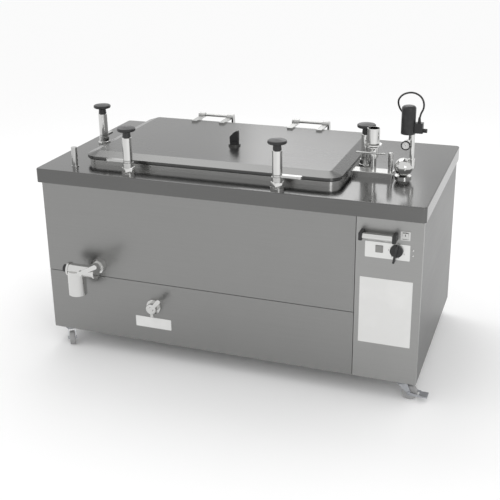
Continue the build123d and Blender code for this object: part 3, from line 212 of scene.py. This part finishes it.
def twin(piece, name, shift, body):
    """A copy with its own mesh, moved by a vector."""
    copy = piece.copy()
    copy.data = piece.data.copy()
    bpy.context.scene.collection.objects.link(copy)
    copy.parent = None
    copy.matrix_world = Matrix.Identity(4)
    copy.data.transform(Matrix.Translation(shift))
    copy.name = name
    copy.data.name = name
    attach(copy, body)
    return copy


# Shader groups that several finishes share
def new_group(name, inputs, outputs):
    group = bpy.data.node_groups.new(name, "ShaderNodeTree")
    for label, kind, value in inputs:
        socket = group.interface.new_socket(name=label, in_out="INPUT", socket_type=kind)
        if value is not None:
            socket.default_value = value
    for label, kind in outputs:
        group.interface.new_socket(name=label, in_out="OUTPUT", socket_type=kind)
    start = group.nodes.new("NodeGroupInput")
    end = group.nodes.new("NodeGroupOutput")
    return group, start, end


def make_brush_lines():
    """Fine parallel lines of a brushed sheet, and the broad cloudiness left by wiping."""
    group, start, end = new_group(
        "brush_lines",
        [
            ("Vector", "NodeSocketVector", None),
            ("Stretch", "NodeSocketVector", (2.0, 260.0, 260.0)),
            ("Cloud Scale", "NodeSocketFloat", 3.0),
        ],
        [("Line", "NodeSocketFloat"), ("Cloud", "NodeSocketFloat")],
    )
    stretch = group.nodes.new("ShaderNodeVectorMath")
    stretch.operation = "MULTIPLY"
    group.links.new(start.outputs["Vector"], stretch.inputs[0])
    group.links.new(start.outputs["Stretch"], stretch.inputs[1])
    line = group.nodes.new("ShaderNodeTexNoise")
    line.inputs["Scale"].default_value = 1.0
    line.inputs["Detail"].default_value = 5.0
    line.inputs["Roughness"].default_value = 0.6
    group.links.new(stretch.outputs["Vector"], line.inputs["Vector"])
    cloud = group.nodes.new("ShaderNodeTexNoise")
    cloud.inputs["Detail"].default_value = 4.0
    cloud.inputs["Distortion"].default_value = 0.6
    group.links.new(start.outputs["Vector"], cloud.inputs["Vector"])
    group.links.new(start.outputs["Cloud Scale"], cloud.inputs["Scale"])
    group.links.new(line.outputs["Fac"], end.inputs["Line"])
    group.links.new(cloud.outputs["Fac"], end.inputs["Cloud"])
    return group


def make_metal_tone():
    """Colour and roughness of a metal from its lines and clouds."""
    group, start, end = new_group(
        "metal_tone",
        [
            ("Base", "NodeSocketColor", (0.5, 0.5, 0.5, 1)),
            ("Line", "NodeSocketFloat", 0.5),
            ("Cloud", "NodeSocketFloat", 0.5),
            ("Line Amount", "NodeSocketFloat", 0.1),
            ("Cloud Amount", "NodeSocketFloat", 0.1),
            ("Roughness", "NodeSocketFloat", 0.3),
            ("Roughness Spread", "NodeSocketFloat", 0.1),
        ],
        [("Color", "NodeSocketColor"), ("Roughness", "NodeSocketFloat")],
    )

    def math(operation, first, second):
        node = group.nodes.new("ShaderNodeMath")
        node.operation = operation
        for index, value in enumerate((first, second)):
            if isinstance(value, (int, float)):
                node.inputs[index].default_value = value
            else:
                group.links.new(value, node.inputs[index])
        return node.outputs[0]

    line_shift = math("MULTIPLY", math("SUBTRACT", start.outputs["Line"], 0.5), start.outputs["Line Amount"])
    cloud_shift = math("MULTIPLY", math("SUBTRACT", start.outputs["Cloud"], 0.5), start.outputs["Cloud Amount"])
    factor = math("ADD", math("ADD", line_shift, cloud_shift), 1.0)
    tone = group.nodes.new("ShaderNodeVectorMath")
    tone.operation = "SCALE"
    group.links.new(start.outputs["Base"], tone.inputs[0])
    group.links.new(factor, tone.inputs["Scale"])
    group.links.new(tone.outputs["Vector"], end.inputs["Color"])
    spread = math("MULTIPLY", math("SUBTRACT", start.outputs["Cloud"], 0.5), start.outputs["Roughness Spread"])
    fine = math("MULTIPLY", math("SUBTRACT", start.outputs["Line"], 0.5), start.outputs["Roughness Spread"])
    rough = math("ADD", math("ADD", start.outputs["Roughness"], spread), fine)
    group.links.new(rough, end.inputs["Roughness"])
    return group


def make_moulded_skin():
    """Moulded plastic or rubber: a fine grain, and paler places where hands have rubbed it."""
    group, start, end = new_group(
        "moulded_skin",
        [
            ("Vector", "NodeSocketVector", None),
            ("Base", "NodeSocketColor", (0.02, 0.02, 0.02, 1)),
            ("Rubbed", "NodeSocketColor", (0.08, 0.08, 0.08, 1)),
            ("Grain Scale", "NodeSocketFloat", 900.0),
            ("Rub Scale", "NodeSocketFloat", 30.0),
            ("Roughness", "NodeSocketFloat", 0.4),
        ],
        [("Color", "NodeSocketColor"), ("Roughness", "NodeSocketFloat"), ("Height", "NodeSocketFloat")],
    )
    grain = group.nodes.new("ShaderNodeTexNoise")
    grain.inputs["Detail"].default_value = 2.0
    group.links.new(start.outputs["Vector"], grain.inputs["Vector"])
    group.links.new(start.outputs["Grain Scale"], grain.inputs["Scale"])
    rub = group.nodes.new("ShaderNodeTexNoise")
    rub.inputs["Detail"].default_value = 5.0
    group.links.new(start.outputs["Vector"], rub.inputs["Vector"])
    group.links.new(start.outputs["Rub Scale"], rub.inputs["Scale"])
    where = group.nodes.new("ShaderNodeMapRange")
    where.inputs["From Min"].default_value = 0.5
    where.inputs["From Max"].default_value = 0.8
    where.inputs["To Max"].default_value = 0.6
    group.links.new(rub.outputs["Fac"], where.inputs["Value"])
    mix = group.nodes.new("ShaderNodeMix")
    mix.data_type = "RGBA"
    group.links.new(where.outputs["Result"], mix.inputs["Factor"])
    group.links.new(start.outputs["Base"], mix.inputs["A"])
    group.links.new(start.outputs["Rubbed"], mix.inputs["B"])
    shift = group.nodes.new("ShaderNodeMath")
    shift.operation = "MULTIPLY_ADD"
    group.links.new(where.outputs["Result"], shift.inputs[0])
    shift.inputs[1].default_value = -0.15
    group.links.new(start.outputs["Roughness"], shift.inputs[2])
    group.links.new(mix.outputs["Result"], end.inputs["Color"])
    group.links.new(shift.outputs["Value"], end.inputs["Roughness"])
    group.links.new(grain.outputs["Fac"], end.inputs["Height"])
    return group


def make_band():
    """1 where one coordinate lies between two limits, 0 elsewhere."""
    group, start, end = new_group(
        "band",
        [("Value", "NodeSocketFloat", 0.0), ("From", "NodeSocketFloat", 0.0), ("To", "NodeSocketFloat", 1.0)],
        [("Mask", "NodeSocketFloat")],
    )
    above = group.nodes.new("ShaderNodeMath")
    above.operation = "GREATER_THAN"
    below = group.nodes.new("ShaderNodeMath")
    below.operation = "LESS_THAN"
    both = group.nodes.new("ShaderNodeMath")
    both.operation = "MULTIPLY"
    group.links.new(start.outputs["Value"], above.inputs[0])
    group.links.new(start.outputs["From"], above.inputs[1])
    group.links.new(start.outputs["Value"], below.inputs[0])
    group.links.new(start.outputs["To"], below.inputs[1])
    group.links.new(above.outputs[0], both.inputs[0])
    group.links.new(below.outputs[0], both.inputs[1])
    group.links.new(both.outputs[0], end.inputs["Mask"])
    return group


brush_lines = make_brush_lines()
metal_tone = make_metal_tone()
moulded_skin = make_moulded_skin()
band = make_band()


def new_finish(name):
    finish = bpy.data.materials.new(name)
    finish.use_nodes = True
    tree = finish.node_tree
    shader = tree.nodes["Principled BSDF"]
    place = tree.nodes.new("ShaderNodeTexCoord")
    return finish, tree, shader, place


def use_group(tree, group, **values):
    node = tree.nodes.new("ShaderNodeGroup")
    node.node_tree = group
    for label, value in values.items():
        node.inputs[label.replace("_", " ")].default_value = value
    return node


def add_bump(tree, shader, height, strength, distance):
    bump = tree.nodes.new("ShaderNodeBump")
    bump.inputs["Strength"].default_value = strength
    bump.inputs["Distance"].default_value = distance
    tree.links.new(height, bump.inputs["Height"])
    tree.links.new(bump.outputs["Normal"], shader.inputs["Normal"])


def metal(name, colour, rough, stretch=(2.0, 260.0, 260.0), lines=0.12, clouds=0.1, spread=0.1, bump=0.05, cloud_scale=3.0):
    """A metal with brushing lines along the axis whose stretch is small."""
    finish, tree, shader, place = new_finish(name)
    marks = use_group(tree, brush_lines, Stretch=stretch, Cloud_Scale=cloud_scale)
    tone = use_group(
        tree,
        metal_tone,
        Base=(*colour, 1),
        Line_Amount=lines,
        Cloud_Amount=clouds,
        Roughness=rough,
        Roughness_Spread=spread,
    )
    tree.links.new(place.outputs["Object"], marks.inputs["Vector"])
    tree.links.new(marks.outputs["Line"], tone.inputs["Line"])
    tree.links.new(marks.outputs["Cloud"], tone.inputs["Cloud"])
    tree.links.new(tone.outputs["Color"], shader.inputs["Base Color"])
    tree.links.new(tone.outputs["Roughness"], shader.inputs["Roughness"])
    shader.inputs["Metallic"].default_value = 1.0
    if bump:
        add_bump(tree, shader, marks.outputs["Line"], bump, 0.0004)
    return finish


def moulded(name, colour, rubbed, rough, grain=900.0, rub=30.0, bump=0.08, coat=0.0):
    finish, tree, shader, place = new_finish(name)
    skin = use_group(
        tree,
        moulded_skin,
        Base=(*colour, 1),
        Rubbed=(*rubbed, 1),
        Grain_Scale=grain,
        Rub_Scale=rub,
        Roughness=rough,
    )
    tree.links.new(place.outputs["Object"], skin.inputs["Vector"])
    tree.links.new(skin.outputs["Color"], shader.inputs["Base Color"])
    tree.links.new(skin.outputs["Roughness"], shader.inputs["Roughness"])
    shader.inputs["Coat Weight"].default_value = coat
    add_bump(tree, shader, skin.outputs["Height"], bump, 0.0003)
    return finish


grey = lambda value: (value, value, value * 0.985)
# The worktop's and the lid's steel have a darker base than the casing's: painted shade, standing for dark
# surroundings seen in their reflections.
worktop_steel_painted_dark_reflection = metal("worktop_steel_painted_dark_reflection", grey(0.14), 0.17, (1.5, 220.0, 220.0), 0.10, 0.16, 0.10, 0.03, 2.2)
lid_steel_painted_dark_reflection = metal("lid_steel_painted_dark_reflection", grey(0.15), 0.26, (2.0, 240.0, 240.0), 0.10, 0.08, 0.08, 0.03)
front_steel = metal("front_steel", grey(0.27), 0.36, (2.0, 240.0, 240.0), 0.10, 0.10, 0.08, 0.04, 1.6)
# The side panels' steel is a darker copy of the front panels' steel: painted shade on the side turned from the
# light.
side_steel_painted_shade = metal("side_steel_painted_shade", grey(0.12), 0.34, (240.0, 2.0, 240.0), 0.10, 0.12, 0.08, 0.04, 1.6)
# The column panel's steel is a paler copy of the front panels' steel: painted light, as the front grows lighter
# towards its right.
column_steel_painted_light = metal("column_steel_painted_light", grey(0.33), 0.36, (2.0, 240.0, 240.0), 0.10, 0.08, 0.08, 0.04)
bright_steel = metal("bright_steel", grey(0.62), 0.10, (60.0, 60.0, 60.0), 0.04, 0.10, 0.06, 0.0, 14.0)
drawn_steel = metal("drawn_steel", grey(0.48), 0.22, (160.0, 160.0, 6.0), 0.10, 0.10, 0.10, 0.03, 10.0)
tub_steel = metal("tub_steel", grey(0.58), 0.24, (4.0, 200.0, 200.0), 0.10, 0.14, 0.10, 0.03)
frame_steel = metal("frame_steel", grey(0.30), 0.42, (60.0, 60.0, 60.0), 0.10, 0.20, 0.12, 0.05, 8.0)
heater_steel = metal("heater_steel", (0.20, 0.17, 0.15), 0.4, (40.0, 40.0, 40.0), 0.2, 0.5, 0.15, 0.05, 12.0)
zinc_steel = metal("zinc_steel", (0.42, 0.43, 0.45), 0.34, (90.0, 90.0, 90.0), 0.16, 0.26, 0.14, 0.06, 26.0)
plate_steel = metal("plate_aluminium", grey(0.72), 0.42, (4.0, 260.0, 260.0), 0.05, 0.05, 0.06, 0.03, 6.0)
black_plastic = moulded("black_plastic", (0.012, 0.012, 0.013), (0.045, 0.045, 0.046), 0.38)
black_rubber = moulded("black_rubber", (0.016, 0.016, 0.016), (0.05, 0.05, 0.05), 0.62, 700.0, 22.0, 0.12)
lead_rubber = moulded("lead_rubber", (0.014, 0.014, 0.014), (0.035, 0.035, 0.035), 0.5, 500.0, 40.0, 0.08)
tyre_rubber = moulded("tyre_rubber", (0.30, 0.30, 0.30), (0.42, 0.42, 0.41), 0.6, 500.0, 24.0, 0.15)
light_plastic = moulded("light_plastic", (0.56, 0.56, 0.55), (0.66, 0.66, 0.65), 0.42)
wool = moulded("wool_blanket", (0.45, 0.38, 0.22), (0.60, 0.52, 0.33), 0.95, 160.0, 18.0, 0.9)
sheet_paper = moulded("sheet_paper", (0.66, 0.66, 0.65), (0.74, 0.74, 0.73), 0.55, 420.0, 9.0, 0.10)
tag_paper = moulded("tag_paper", (0.70, 0.70, 0.69), (0.80, 0.80, 0.79), 0.5, 420.0, 12.0, 0.10)
dial_ink = moulded("dial_ink", (0.03, 0.03, 0.03), (0.08, 0.08, 0.08), 0.55, 800.0, 60.0, 0.05)
lamp_lens = moulded("lamp_lens", (0.22, 0.22, 0.21), (0.32, 0.32, 0.31), 0.18, 300.0, 30.0, 0.04, 0.5)


def black_beyond(name, low, high):
    """A bright bar whose ends, outside two X limits, are black plastic."""
    finish = bright_steel.copy()
    finish.name = name
    tree = finish.node_tree
    shader = tree.nodes["Principled BSDF"]
    place = next(node for node in tree.nodes if node.type == "TEX_COORD")
    split = tree.nodes.new("ShaderNodeSeparateXYZ")
    mask = use_group(tree, band, From=low, To=high)
    tree.links.new(place.outputs["Object"], split.inputs[0])
    tree.links.new(split.outputs["X"], mask.inputs["Value"])
    for label, outside in (("Base Color", (0.012, 0.012, 0.013, 1)), ("Roughness", 0.36), ("Metallic", 0.0)):
        mix = tree.nodes.new("ShaderNodeMix")
        coloured = label == "Base Color"
        mix.data_type = "RGBA" if coloured else "FLOAT"
        first, second = ("A", "B")
        mix.inputs[first].default_value = outside
        socket = shader.inputs[label]
        if socket.is_linked:
            tree.links.new(socket.links[0].from_socket, mix.inputs[second])
        else:
            mix.inputs[second].default_value = 1.0
        tree.links.new(mask.outputs["Mask"], mix.inputs["Factor"])
        tree.links.new(mix.outputs["Result"], socket)
    return finish


handle_low, handle_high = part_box("column_handle")
handle_finish = black_beyond("handle_bar", handle_low.x + 0.0152, handle_high.x - 0.0152)
drain_finish = black_beyond("drain_body", middle_x - 0.6772, 10.0)

finishes = {
    "worktop": worktop_steel_painted_dark_reflection,
    "front_panel_upper": front_steel,
    "front_panel_lower": front_steel,
    "column_panel": column_steel_painted_light,
    "side_panels": side_steel_painted_shade,
    "back_panel": front_steel,
    "bottom_panel": frame_steel,
    "base_frame": frame_steel,
    "vessel": tub_steel,
    "jacket_shell": frame_steel,
    "insulation": wool,
    "heating_elements": heater_steel,
    "hinge_brackets": drawn_steel,
    "clamp_pillars": drawn_steel,
    "filler_base": drawn_steel,
    "filler_tap_body": bright_steel,
    "filler_funnel": bright_steel,
    "safety_valve": bright_steel,
    "pressure_switch": black_plastic,
    "jacket_vent_posts": drawn_steel,
    "drain_valve_body": drain_finish,
    "tap_body": bright_steel,
    "tap_plate": tag_paper,
    "column_handle": handle_finish,
    "control_plate": plate_steel,
    "indicator_lamp": lamp_lens,
    "info_plate": sheet_paper,
    "switch_bodies": light_plastic,
    "castor_plates": zinc_steel,
    "lid": lid_steel_painted_dark_reflection,
    "lid_gasket": black_rubber,
    "lid_hinge_arms": drawn_steel,
    "vent_knob": black_plastic,
    "filler_tap_bar": drawn_steel,
    "drain_lever": bright_steel,
    "tap_lever": bright_steel,
    "control_knob": black_plastic,
    "rocker_switch": light_plastic,
    "castor_brake_pedal": zinc_steel,
    "switch_lead": lead_rubber,
}
for name, node in nodes.items():
    if name in finishes:
        finish = finishes[name]
    elif name.startswith("clamp_knob"):
        finish = black_plastic
    elif name.startswith("clamp_sleeve"):
        finish = bright_steel
    elif name.startswith("clamp_claw"):
        finish = drawn_steel
    elif name.startswith("castor_wheel"):
        finish = tyre_rubber
    else:
        finish = zinc_steel
    node.data.materials.clear()
    node.data.materials.append(finish)

# Lead: one smooth line through the route's points, from the plug to the gland
valve_x, valve_y = 692.0, -100.0
plug_x, plug_top = 747.5, 1085.0
joint_x, joint_z = 700.0, 991.0
gland_end = valve_y + 30.0
lead_diameter = 0.0075
loop_width, loop_height, loop_back = 92.0, 124.0, 94.0
# Each step is (across, back, up) in shares of the loop's width, reach to the back and height
lead_from_plug = [
    (0, 0, 0),
    (0, 0, 0.24),
    (0.2, 0, 0.52),
    (0.09, 0, 0.84),
    (-0.3, 0, 1),
    (-0.74, 0, 0.93),
    (-1, 0.11, 0.7),
    (-0.99, 0.4, 0.4),
    (-0.86, 0.77, 0.14),
]
lead_from_joint = [(-0.15, 1, 0.57), (-0.03, 0.98, 0.22)]
lead_points = [
    (start_x + aside * loop_width, valve_y + back * loop_back, start_z + up * loop_height)
    for start_x, start_z, steps in ((plug_x, plug_top, lead_from_plug), (joint_x, joint_z, lead_from_joint))
    for aside, back, up in steps
]
lead_points += [(joint_x, gland_end + 0.38 * loop_back, joint_z), (joint_x, gland_end, joint_z)]


def make_lead():
    data = bpy.data.curves.new("lead", "CURVE")
    data.dimensions = "3D"
    line = data.splines.new("NURBS")
    line.points.add(len(lead_points) - 1)
    for point, place in zip(line.points, lead_points):
        point.co = (*spot(*place), 1.0)
    line.order_u = 3
    line.use_endpoint_u = True
    line.resolution_u = 12
    data.bevel_depth = lead_diameter / 2
    data.bevel_resolution = 5
    data.use_fill_caps = True
    data.materials.append(lead_rubber)
    lead = bpy.data.objects.new("switch_lead_cable", data)
    bpy.context.scene.collection.objects.link(lead)
    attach(lead, "kettle")
    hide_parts("switch_lead")
    return lead


make_lead()

boot_profile = [
    (0.0, 0.0),
    (0.0082, 0.0),
    (0.0082, 0.003),
    (0.0068, 0.005),
    (0.0062, 0.012),
    (0.0054, 0.020),
    (0.0046, 0.026),
    (0.0039, 0.028),
    (0.0, 0.028),
]
plug_boot = turned_profile(boot_profile, spot(plug_x, valve_y, plug_top - 6), (0, 0, 1), 28)
put_on(plug_boot, "lead_boot_at_plug", "kettle", black_rubber)
gland_boot = turned_profile(boot_profile, spot(joint_x, gland_end - 4, joint_z), (0, 1, 0), 28)
put_on(gland_boot, "lead_boot_at_gland", "kettle", black_rubber)


# Gauge on the junction: rim, dial and pointer, facing the front
def make_gauge():
    face_y = valve_y - 15
    rim = turned_profile(
        [
            (0.0, 0.0),
            (0.0185, 0.0),
            (0.0195, 0.001),
            (0.0195, 0.006),
            (0.0185, 0.0075),
            (0.0160, 0.0075),
            (0.0155, 0.0070),
            (0.0155, 0.0035),
            (0.0, 0.0035),
        ],
        spot(joint_x, face_y + 0.5, joint_z),
        (0, -1, 0),
        48,
    )
    put_on(rim, "gauge_rim", "kettle", black_plastic)
    dial = turned_profile(
        [(0.0, 0.0), (0.0152, 0.0), (0.0152, 0.0006), (0.0, 0.0006)],
        spot(joint_x, face_y - 2.8, joint_z),
        (0, -1, 0),
        40,
    )
    put_on(dial, "gauge_dial", "kettle", tag_paper)
    nothing_selected()
    bpy.ops.mesh.primitive_cube_add(size=1.0, location=(0, 0, 0.004))
    pointer = bpy.context.object
    pointer.scale = (0.0012, 0.0006, 0.014)
    bpy.ops.object.transform_apply(location=True, scale=True)
    into_edit(pointer, "VERT")
    shape = bmesh.from_edit_mesh(pointer.data)
    for vertex in shape.verts:
        vertex.select_set(vertex.co.z > 0.008)
    bmesh.update_edit_mesh(pointer.data)
    bpy.ops.transform.resize(value=(0.3, 1, 1))
    out_of_edit()
    pointer.rotation_euler = (0, radians(-38), 0)
    pointer.location = spot(joint_x, face_y - 3.7, joint_z)
    put_on(pointer, "gauge_pointer", "kettle", dial_ink)


make_gauge()


# Hexagon collars at the feet of the clamps' pillars
def make_pillar_collar():
    nothing_selected()
    bpy.ops.mesh.primitive_cylinder_add(vertices=6, radius=0.0282, depth=0.020, end_fill_type="NGON")
    collar = bpy.context.object
    into_edit(collar, "FACE")
    pick_faces(collar, lambda middle, normal: abs(normal.z) > 0.9)
    bpy.ops.mesh.inset(thickness=0.0028, depth=0)
    bpy.ops.transform.resize(value=(1, 1, 1.14))
    out_of_edit()
    bevel_all(collar, 0.0006, 2)
    return collar


def clamp_spot(where, z):
    """The point on a clamp's axis at a height, found from its knob."""
    low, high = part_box(f"clamp_knob_{where}")
    return Vector(((low.x + high.x) / 2, (low.y + high.y) / 2, z))


collar_z = worktop_z + 0.0205
first_collar = make_pillar_collar()
first_collar.location = clamp_spot("front_left", collar_z)
put_on(first_collar, "pillar_collar_front_left", "kettle", bright_steel)
for where in ("front_right", "left", "right"):
    shift = clamp_spot(where, 0) - clamp_spot("front_left", 0)
    twin(first_collar, f"pillar_collar_{where}", shift, "kettle")


# Screws on the hinge feet
def make_hinge_screws():
    places = [(x + dx, y) for x in (-345.0, 145.0) for dx in (-62.0, 62.0) for y in (417.0, 433.0)]
    first = hex_head(spot(*places[0], 855.0), (0, 0, 1), 0.010, 0.0055)
    put_on(first, "hinge_screw_0", "kettle", bright_steel)
    for index, (x, y) in enumerate(places[1:], 1):
        twin(first, f"hinge_screw_{index}", spot(x, y, 0) - spot(*places[0], 0), "kettle")


make_hinge_screws()


# Dial numbers round the control knob
def make_dial():
    centre_x, centre_z = 741.0, 660.0
    face_y = -438.0 - 1.2
    for index in range(4):
        angle = radians(-20 - index * 53.3)
        nothing_selected()
        bpy.ops.object.text_add(location=(0, 0, 0))
        mark = bpy.context.object
        mark.data.body = str(index)
        mark.data.size = 0.008
        mark.data.align_x = "CENTER"
        mark.data.align_y = "CENTER"
        mark.data.extrude = 0.00008
        only(mark)
        bpy.ops.object.convert(target="MESH")
        mark = bpy.context.object
        mark.rotation_euler = (radians(90), 0, 0)
        mark.location = spot(centre_x + 31.5 * cos(angle), face_y - 0.06, centre_z + 31.5 * sin(angle))
        put_on(mark, f"dial_number_{index}", "kettle", dial_ink)


make_dial()


# Dark mark on the rocker, lying on its sloping face
def make_rocker_mark():
    slope = radians(13.5)
    nothing_selected()
    bpy.ops.mesh.primitive_cube_add(size=1.0, location=(0, 0, 0))
    mark = bpy.context.object
    mark.scale = (0.0026, 0.0004, 0.010)
    bpy.ops.object.transform_apply(scale=True)
    mark.rotation_euler = (slope, 0, 0)
    mark.location = spot(773.0, -443.0, 725.0) + Vector((0, -sin(slope), cos(slope))) * 0.004
    put_on(mark, "rocker_mark", "rocker_switch", dial_ink)


make_rocker_mark()


# Small round-headed screws that hold the control plate and the service panel
def make_column_screws():
    head = [(0.0, 0.0), (0.0038, 0.0), (0.0036, 0.0010), (0.0026, 0.0020), (0.0012, 0.0024), (0.0, 0.0024)]
    for index, (x, y, z) in enumerate(((805.0, -438.0, 668.0), (805.0, -438.0, 646.0))):
        screw = turned_profile(head, spot(x, y, z), (0, -1, 0), 24)
        put_on(screw, f"column_screw_{index}", "kettle", bright_steel)


make_column_screws()


# Nuts on the ends of the castors' axles
def make_axle_nuts():
    yaws = {"front_left": -58.0, "rear_left": 118.0, "rear_right": 76.0}
    for name, yaw in yaws.items():
        low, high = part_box(f"castor_wheel_{name}")
        hub = (low + high) / 2
        aside = Vector((-sin(radians(yaw)), cos(radians(yaw)), 0))
        for index, side in enumerate((1, -1)):
            nut = hex_head(hub + aside * side * 0.0170, aside * side, 0.014, 0.006, 0.8)
            put_on(nut, f"axle_nut_{name}_{index}", f"castor_fork_{name}", zinc_steel)


make_axle_nuts()


# Floor and light
def make_stage():
    nothing_selected()
    bpy.ops.mesh.primitive_plane_add(size=40.0, location=(0, 0, 0))
    floor = bpy.context.object
    floor.name = "pale_floor"
    finish = bpy.data.materials.new("pale_floor")
    finish.use_nodes = True
    tree = finish.node_tree
    shader = tree.nodes["Principled BSDF"]
    shader.inputs["Base Color"].default_value = (0.98, 0.98, 0.98, 1)
    shader.inputs["Roughness"].default_value = 0.9
    shader.inputs["Specular IOR Level"].default_value = 0.0
    floor.data.materials.append(finish)
    bpy.context.scene.view_settings.view_transform = "Standard"
    world = bpy.data.worlds.new("studio")
    bpy.context.scene.world = world
    world.use_nodes = True
    tree = world.node_tree
    back = tree.nodes["Background"]
    back.inputs["Color"].default_value = (1, 1, 1, 1)
    path = tree.nodes.new("ShaderNodeLightPath")
    seen = tree.nodes.new("ShaderNodeMath")
    seen.operation = "MAXIMUM"
    through = tree.nodes.new("ShaderNodeMath")
    through.operation = "MAXIMUM"
    tree.links.new(path.outputs["Is Camera Ray"], seen.inputs[0])
    tree.links.new(path.outputs["Is Glossy Ray"], seen.inputs[1])
    tree.links.new(seen.outputs[0], through.inputs[0])
    tree.links.new(path.outputs["Is Transmission Ray"], through.inputs[1])
    level = tree.nodes.new("ShaderNodeMapRange")
    level.inputs["To Min"].default_value = 0.98
    level.inputs["To Max"].default_value = 1.0
    tree.links.new(through.outputs[0], level.inputs["Value"])
    tree.links.new(level.outputs["Result"], back.inputs["Strength"])


def make_lamp(name, place, target, size, power):
    data = bpy.data.lights.new(name, "AREA")
    data.shape = "RECTANGLE"
    data.size, data.size_y = size
    data.energy = power
    lamp = bpy.data.objects.new(name, data)
    bpy.context.scene.collection.objects.link(lamp)
    lamp.location = place
    lamp.visible_camera = False
    aim = (Vector(target) - Vector(place)).normalized()
    lamp.rotation_euler = Vector((0, 0, -1)).rotation_difference(aim).to_euler()


make_stage()
make_lamp("floor_lamp", (3.4, -4.2, 2.6), (0.9, -1.5, 0), (1.6, 1.2), 30)
make_lamp("strip_lamp", (-0.6, 3.5, 2.3), (0.45, -0.42, 0.85), (1.5, 0.7), 5)
make_lamp("top_lamp", (-0.8, 1.2, 3.3), (0, 0, 0.85), (2.4, 1.4), 20)
